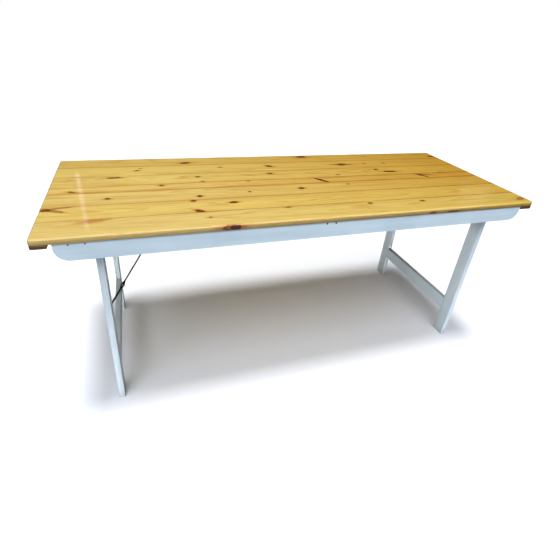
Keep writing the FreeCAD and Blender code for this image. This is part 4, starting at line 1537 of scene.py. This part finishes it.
def islands(node: str) -> list[list[Vector]]:
    """The loose parts of a CAD node, each as a list of its points.

    Args:
        node: The CAD node.

    Returns:
        The points of each separate solid.
    """
    build = bmesh.new()
    build.from_mesh(frame["nodes"][node].data)
    bmesh.ops.remove_doubles(build, verts=build.verts, dist=1e-6)
    left, found = set(build.verts), []
    while left:
        start = min(left, key=lambda v: v.index)
        stack, part = [start], []
        left.discard(start)
        while stack:
            vert = stack.pop()
            part.append(vert.co.copy())
            for edge in vert.link_edges:
                other = edge.other_vert(vert)
                if other in left:
                    left.discard(other)
                    stack.append(other)
        found.append(part)
    build.free()
    return found


def head_of(points: Sequence[Vector]) -> tuple[Vector, Vector]:
    """Middle of a fastener's head and the way it is driven.

    Args:
        points: The points of one screw or nail.

    Returns:
        The middle of the head's face and a unit vector towards the tip.
    """
    low = Vector([min(p[i] for p in points) for i in range(3)])
    high = Vector([max(p[i] for p in points) for i in range(3)])
    size = high - low
    axis = max(range(3), key=lambda i: size[i])
    middle = (low + high) / 2
    spread = []
    for level in (low[axis], high[axis]):
        near = [p for p in points if abs(p[axis] - level) < size[axis] * 0.02]
        face = middle.copy()
        face[axis] = level
        spread.append(max((p - face).length for p in near))
    aim = Vector((0, 0, 0))
    head = middle.copy()
    at_low = spread[0] > spread[1]
    aim[axis] = 1.0 if at_low else -1.0
    head[axis] = low[axis] if at_low else high[axis]
    return head, aim


@dataclass
class FastenerTree:
    """A Geometry Nodes tree that sets a screw or a nail on every point, pointing along its "aim"."""

    name: str
    nail: bool = False
    tip: float = 0.15 * MM
    neck: float = 1.2 * MM
    dome: float = 0.16
    dome_rise: float = 0.12 * MM

    SIZES = ("Head Radius", "Shank Radius", "Length", "Recess Length", "Recess Width", "Second Arm",
             "Recess Depth")

    def build(self) -> NodeTree:
        """Builds the tree, with a named input for each size, the seed and the finish.

        Returns:
            The tree.
        """
        tree = bpy.data.node_groups.new(self.name, "GeometryNodeTree")
        tree.is_modifier = True
        face = tree.interface
        face.new_socket(name="Geometry", in_out="INPUT", socket_type="NodeSocketGeometry")
        for label in self.SIZES:
            face.new_socket(name=label, in_out="INPUT", socket_type="NodeSocketFloat")
        face.new_socket(name="Seed", in_out="INPUT", socket_type="NodeSocketInt")
        face.new_socket(name="Finish", in_out="INPUT", socket_type="NodeSocketMaterial")
        face.new_socket(name="Geometry", in_out="OUTPUT", socket_type="NodeSocketGeometry")
        graph = Graph(tree)
        given = {s.name: s for s in tree.nodes.new("NodeGroupInput").outputs}
        head = self.nail_head(graph, given) if self.nail else self.screw_head(graph, given)
        shank = graph.add("GeometryNodeMeshCone", {"Vertices": 12, "Radius Top": self.tip,
                                                   "Radius Bottom": given["Shank Radius"],
                                                   "Depth": given["Length"]}, fill_type="NGON")
        lift = graph.add("ShaderNodeCombineXYZ", {"Z": self.neck})
        shank = graph.add("GeometryNodeTransform", {"Geometry": shank.outputs["Mesh"], "Translation": lift})
        whole = graph.add("GeometryNodeJoinGeometry")
        tree.links.new(head, whole.inputs[0])
        tree.links.new(shank.outputs[0], whole.inputs[0])
        aim = graph.add("GeometryNodeInputNamedAttribute", {"Name": "aim"}, data_type="FLOAT_VECTOR")
        turn = graph.add("FunctionNodeAlignRotationToVector", {"Vector": aim.outputs[0]}, axis="Z")
        spin = graph.add("FunctionNodeRandomValue", {"Max": 2 * math.pi, "Seed": given["Seed"]},
                         data_type="FLOAT")
        spin_value = next(s for s in spin.outputs if s.enabled)
        spin = graph.add("FunctionNodeAxisAngleToRotation", {"Axis": (0.0, 0.0, 1.0), "Angle": spin_value})
        turn = graph.add("FunctionNodeRotateRotation", {"Rotation": turn.outputs[0],
                                                        "Rotate By": spin.outputs[0]}, rotation_space="LOCAL")
        placed = graph.add("GeometryNodeInstanceOnPoints", {"Points": given["Geometry"],
                                                            "Instance": whole.outputs[0],
                                                            "Rotation": turn.outputs[0]})
        plain = graph.add("GeometryNodeRealizeInstances", {"Geometry": placed.outputs[0]})
        dressed = graph.add("GeometryNodeSetMaterial", {"Geometry": plain.outputs[0],
                                                        "Material": given["Finish"]})
        graph.add("NodeGroupOutput", {"Geometry": dressed.outputs[0]})
        return tree

    def screw_head(self, graph: Graph, given: dict) -> NodeSocket:
        """A countersunk head with a rim and a driver recess.

        Args:
            graph: The tree's graph.
            given: The tree's inputs by name.

        Returns:
            The head's geometry.
        """
        depth = graph.add("ShaderNodeMath", {0: given["Head Radius"], 1: given["Shank Radius"]},
                          operation="SUBTRACT")
        cone = graph.add("GeometryNodeMeshCone", {"Vertices": 28, "Radius Top": given["Shank Radius"],
                                                  "Radius Bottom": given["Head Radius"], "Depth": depth},
                         fill_type="NGON")
        tall = graph.add("ShaderNodeMath", {0: given["Recess Depth"], 1: 2.0}, operation="MULTIPLY")
        size_a = graph.add("ShaderNodeCombineXYZ", {"X": given["Recess Length"], "Y": given["Recess Width"],
                                                    "Z": tall})
        arm = graph.add("ShaderNodeMath", {0: given["Recess Length"], 1: given["Second Arm"]},
                        operation="MULTIPLY")
        size_b = graph.add("ShaderNodeCombineXYZ", {"X": given["Recess Width"], "Y": arm, "Z": tall})
        slot_a = graph.add("GeometryNodeMeshCube", {"Size": size_a})
        slot_b = graph.add("GeometryNodeMeshCube", {"Size": size_b})
        cut = graph.add("GeometryNodeMeshBoolean", {"Mesh 1": cone.outputs["Mesh"]}, operation="DIFFERENCE",
                        solver="EXACT")
        for slot in (slot_a, slot_b):
            graph.tree.links.new(slot.outputs["Mesh"], cut.inputs["Mesh 2"])
        return cut.outputs["Mesh"]

    def nail_head(self, graph: Graph, given: dict) -> NodeSocket:
        """A low domed nail head.

        Args:
            graph: The tree's graph.
            given: The tree's inputs by name.

        Returns:
            The head's geometry.
        """
        ball = graph.add("GeometryNodeMeshUVSphere", {"Segments": 20, "Rings": 10,
                                                      "Radius": given["Head Radius"]})
        flat = graph.add("GeometryNodeTransform", {"Geometry": ball.outputs["Mesh"],
                                                   "Scale": (1.0, 1.0, self.dome),
                                                   "Translation": (0.0, 0.0, self.dome_rise)})
        return flat.outputs[0]


@dataclass
class FastenerRow:
    """One CAD group of screws or nails, built again with driver recesses or domed heads."""

    node: str
    piece: str
    head: float
    shank: float
    length: float
    recess: Recess = Recess.CROSS
    seed: int = 1
    sunk: float = 0.15 * MM
    recess_shares: tuple[float, float, float] = (1.25, 0.22, 0.35)

    def points(self) -> list[tuple[Vector, Vector]]:
        """Head and aim of every fastener in the CAD group, in a fixed order."""
        found = [head_of(part) for part in islands(self.node)]
        return sorted(found, key=lambda pair: tuple(round(c, 5) for c in pair[0]))

    def build(self, tree: NodeTree, finish: Material, slot: str) -> None:
        """Sets the fasteners on their points and installs them as one mesh.

        Args:
            tree: The Geometry Nodes tree.
            finish: The fasteners' material.
            slot: The record's material slot.
        """
        rows = self.points()
        mesh = bpy.data.meshes.new(self.piece)
        mesh.from_pydata([tuple(head + aim * self.sunk) for head, aim in rows], [], [])
        attribute = mesh.attributes.new("aim", "FLOAT_VECTOR", "POINT")
        attribute.data.foreach_set("vector", [c for _, aim in rows for c in aim])
        piece = bpy.data.objects.new(self.piece, mesh)
        bpy.context.scene.collection.objects.link(piece)
        modifier = piece.modifiers.new("fasteners", "NODES")
        modifier.node_group = tree
        long, wide, deep = (self.head * share for share in self.recess_shares)
        values = {"Head Radius": self.head, "Shank Radius": self.shank, "Length": self.length,
                  "Recess Length": long, "Recess Width": wide, "Second Arm": self.recess.value,
                  "Recess Depth": deep, "Seed": self.seed, "Finish": finish}
        for item in tree.interface.items_tree:
            if item.in_out == "INPUT" and item.name in values:
                modifier[item.identifier] = values[item.name]
        apply_modifiers(piece)
        piece.data.shade_smooth()
        piece.data.set_sharp_from_angle(angle=SMOOTH_ANGLE)
        install(piece, body_of(self.node), slot, self.node)


@dataclass
class Fasteners:
    """Every screw and nail of the table."""

    def rows(self) -> list[FastenerRow]:
        """The groups of screws, with sizes in the part's own millimetres.

        Returns:
            A row for each CAD group.
        """
        wood, leaf, bracket = (4.1 * MM, 2.1 * MM), (2.95 * MM, 1.5 * MM), (3.3 * MM, 1.7 * MM)
        rows = [FastenerRow("bearer_screws", "bearer_wood_screws", *wood, 30 * MM, seed=3),
                FastenerRow("middle_batten_screws", "middle_wood_screws", *wood, 30 * MM, seed=4),
                FastenerRow("end_batten_screws", "end_wood_screws", *wood, 21 * MM, seed=5),
                FastenerRow("hinge_bearer_screws", "upper_leaf_screws", *leaf, 13 * MM, seed=6),
                FastenerRow("stay_bracket_screws", "bracket_wood_screws", *bracket, 13 * MM, Recess.SLOT,
                            seed=7)]
        rows += [FastenerRow(f"{side}_hinge_rail_screws", f"{side}_lower_leaf_screws", *leaf, 13 * MM,
                             seed=8 + i) for i, side in enumerate(SIDES)]
        return rows

    def build(self, zinc: Material) -> None:
        """Builds every group.

        Args:
            zinc: Finish of the screws.
        """
        # Nails gone nearly black, a little rust brown in them: dark dots along the apron's upper edge.
        black = MetalFinish("blackened_nail_steel", "#141210", "#080706", "#1c110a", (0.6, 0.8), 500.0, 0.1,
                            painted_from=0.7).build()
        screws = FastenerTree("countersunk_screws").build()
        for row in self.rows():
            row.build(screws, zinc, "zinc_steel")
        nails = FastenerTree("lost_head_nails", nail=True).build()
        FastenerRow("apron_nails", "apron_lost_nails", 2.3 * MM, 1.2 * MM, 40 * MM, seed=12,
                    sunk=0.0).build(nails, black, "stay_steel")


# ---------------------------------------------------------------- what keeps its CAD shape
def dress_cad_nodes(zinc: Material, dark: Material, beech: Material) -> None:
    """Gives each CAD node that still shows its finish.

    Args:
        zinc: For hinges, pins, rivets, washers and pivot screws.
        dark: For the stay brackets.
        beech: For the dowels.
    """
    for name, node in frame["nodes"].items():
        if node.hide_render:
            continue
        finish = beech if name.endswith("dowels") else dark if name.endswith("bracket") else zinc
        if not node.data.materials:
            node.data.materials.append(finish)
        for index in range(len(node.material_slots)):
            node.material_slots[index].material = finish
        LOG.info("%s keeps its shape and is finished as %s", name, finish.name)


# ---------------------------------------------------------------- studio
@dataclass
class Studio:
    """Pale floor, soft light and the camera."""

    floor_size: float = 30.0
    camera_place: tuple[float, float, float] = (-0.61079, -1.41037, 1.27008)
    camera_turn: tuple[float, float, float] = (20.574, 29.432, 4.861)
    camera_shift: tuple[float, float] = (0.0139, -0.0588)
    lens: float = 25.06
    sensor: float = 36.0

    def floor(self) -> None:
        """Lays the pale floor."""
        build = bmesh.new()
        bmesh.ops.create_grid(build, x_segments=8, y_segments=8, size=self.floor_size / 2)
        floor = make_object("studio_floor", mesh_from("studio_floor", build), StudioPaper().build())
        floor.visible_glossy = False

    def world(self) -> None:
        """A white surround that is darker in reflections from low down, as a room is."""
        world = bpy.data.worlds.new("studio_surround")
        bpy.context.scene.world = world
        world.use_nodes = True
        graph = Graph(world.node_tree)
        world.node_tree.nodes.clear()
        way = graph.add("ShaderNodeTexCoord").outputs["Generated"]
        split = graph.add("ShaderNodeSeparateXYZ", {0: way})
        rise = graph.add("ShaderNodeMapRange", {"Value": split.outputs["Z"], "From Min": 0.3,
                                                "From Max": 0.9}, interpolation_type="SMOOTHSTEP")
        side = graph.add("ShaderNodeMapRange", {"Value": split.outputs["X"], "From Min": 0.6,
                                                "From Max": -0.5, "To Min": 0.2, "To Max": 1.0})
        level = graph.add("ShaderNodeMath", {0: rise, 1: side}, operation="MULTIPLY")
        level = graph.add("ShaderNodeMapRange", {"Value": level, "To Min": 0.03, "To Max": 0.22})
        soft = graph.add("ShaderNodeBackground", {"Color": (0.96, 0.98, 1.0, 1.0), "Strength": level})
        white = graph.add("ShaderNodeBackground", {"Color": grey(1.0), "Strength": 1.0})
        seen = graph.add("ShaderNodeLightPath").outputs["Is Camera Ray"]
        both = graph.add("ShaderNodeMixShader", {0: seen, 1: soft, 2: white})
        graph.add("ShaderNodeOutputWorld", {"Surface": both})

    def hang(self, name: str, kind: str, power: float, colour: str, aim: Vector) -> Object:
        """Adds a light that shines along `aim`.

        Args:
            name: The light's name.
            kind: "AREA" or "SUN".
            power: Its power in watts, or a sun's strength.
            colour: Its colour.
            aim: The way that it shines.

        Returns:
            The light.
        """
        data = bpy.data.lights.new(name, kind)
        data.energy = power
        data.color = srgb(colour)[:3]
        light = bpy.data.objects.new(name, data)
        bpy.context.scene.collection.objects.link(light)
        light.rotation_mode = "QUATERNION"
        light.rotation_quaternion = aim.to_track_quat("-Z", "Y")
        return light

    def lamp(self, name: str, place: tuple, target: tuple, size: tuple, power: float,
             colour: str = "#ffffff") -> Object:
        """Hangs one soft box, which shows in reflections only.

        Args:
            name: The light's name.
            place: Where it hangs.
            target: What it points at.
            size: Its width and height.
            power: Its power in watts.
            colour: Its colour.

        Returns:
            The light.
        """
        lamp = self.hang(name, "AREA", power, colour, Vector(target) - Vector(place))
        lamp.data.shape = "RECTANGLE"
        lamp.data.size, lamp.data.size_y = size
        lamp.location = place
        lamp.visible_camera = False
        lamp.visible_diffuse = False
        return lamp

    def lights(self) -> None:
        """Hangs the key and the wide dome, which give no highlights, and the soft boxes that do."""
        self.sun("key_overhead", (0.03, -0.01, -1.0), 15, 2.95)
        self.sun("dome_front_left", (0.28, 0.58, -1.0), 44, 1.8, "#f2f6ff")
        self.lamp("front_box", (0.9, -3.4, 3.2), (0.4, -0.35, 0.72), (7.0, 0.9), 215.0, "#f0dcff")
        low = self.lamp("low_fill", (-1.3, -4.0, 0.12), (0.0, 0.0, 0.08), (2.4, 0.14), 1.7)
        low.data.spread = math.radians(14)
        low.visible_diffuse = True
        self.lamp("left_strip", (-1.165, 2.5, 1.82), (-0.8, 0.0, 0.725), (0.035, 0.57), 0.062, "#f6e6f4")
        self.lamp("right_strip", (3.05, 1.85, 1.76), (0.75, -0.17, 0.725), (0.3, 0.34), 0.045)

    def sun(self, name: str, aim: tuple, angle: float, strength: float, colour: str = "#ffffff") -> None:
        """Adds an even light from one side of the sky.

        Args:
            name: The light's name.
            aim: The way that it shines.
            angle: How wide its disc is, in degrees.
            strength: Its strength.
            colour: Its colour.
        """
        sun = self.hang(name, "SUN", strength, colour, Vector(aim))
        sun.data.angle = math.radians(angle)
        sun.visible_glossy = False

    def camera(self) -> None:
        """Sets the camera, whose roll and small shift keep the table's outline where it belongs."""
        yaw, pitch, roll = (math.radians(a) for a in self.camera_turn)
        ahead = Vector((math.sin(yaw) * math.cos(pitch), math.cos(yaw) * math.cos(pitch), -math.sin(pitch)))
        right = Vector((math.cos(yaw), -math.sin(yaw), 0))
        up = right.cross(ahead)
        across = right * math.cos(roll) + up * math.sin(roll)
        above = up * math.cos(roll) - right * math.sin(roll)
        data = bpy.data.cameras.new("camera")
        data.sensor_width = self.sensor
        data.lens = self.lens
        data.shift_x, data.shift_y = self.camera_shift
        camera = bpy.data.objects.new("camera", data)
        bpy.context.scene.collection.objects.link(camera)
        turn = Matrix((across, above, -ahead)).transposed().to_4x4()
        camera.matrix_world = Matrix.Translation(self.camera_place) @ turn
        bpy.context.scene.camera = camera

    def build(self) -> None:
        """Builds the floor, the surround, the lights and the camera."""
        self.floor()
        self.world()
        self.lights()
        self.camera()
        bpy.context.scene.view_settings.view_transform = "Standard"


def main() -> None:
    """Builds every part of the table and the studio round it."""
    logging.basicConfig(level=logging.INFO, format="%(name)s: %(message)s")
    Studio().build()
    figure, knot = figure_group(), knot_group()
    # Bare drawn steel, blue grey gone brown in spots: the thin dark stays against the pale paint.
    dark = MetalFinish("drawn_mild_steel", "#4a5256", "#23292c", "#4a2f1e", (0.34, 0.5), 500.0, 0.0).build()
    # Zinc plate gone dull: light grey hinges and screws, hardly any glint.
    zinc = MetalFinish("dull_zinc_plate", "#c3c4bf", "#8c8e8b", "#6b5a48", (0.28, 0.45), 420.0, -0.02).build()
    # Close-grained beech, a plain pinkish tan: the ends of the dowels.
    beech = TimberFinish("beech_dowel", "#d3ab7c", "#b98a5c", varnished=False, along=Axis.Y, ring=2.0,
                         contrast=0.5, seed=90.0).build(figure, knot)
    BoardedTop().build(figure, knot)
    UnderTimber().build(figure, knot)
    nails = [head for head, _ in FastenerRow("apron_nails", "", 0, 0, 0).points()]
    Aprons().build(nails)
    # The tops of the legs get painted shade below the aprons.
    upright = BrushedPaint("brushed_paint_upright", Axis.Z, seed=1.0, painted_shade_heights=(0.54, 0.68)).build()
    level = BrushedPaint("brushed_paint_level", Axis.Y, seed=2.0).build()
    for side in SIDES:
        LegFrame(side).build(upright, level)
        for part in ("lower", "upper"):
            StayArm(side, part).build(dark)
    Fasteners().build(zinc)
    dress_cad_nodes(zinc, dark, beech)


if __name__ == "__main__":
    main()
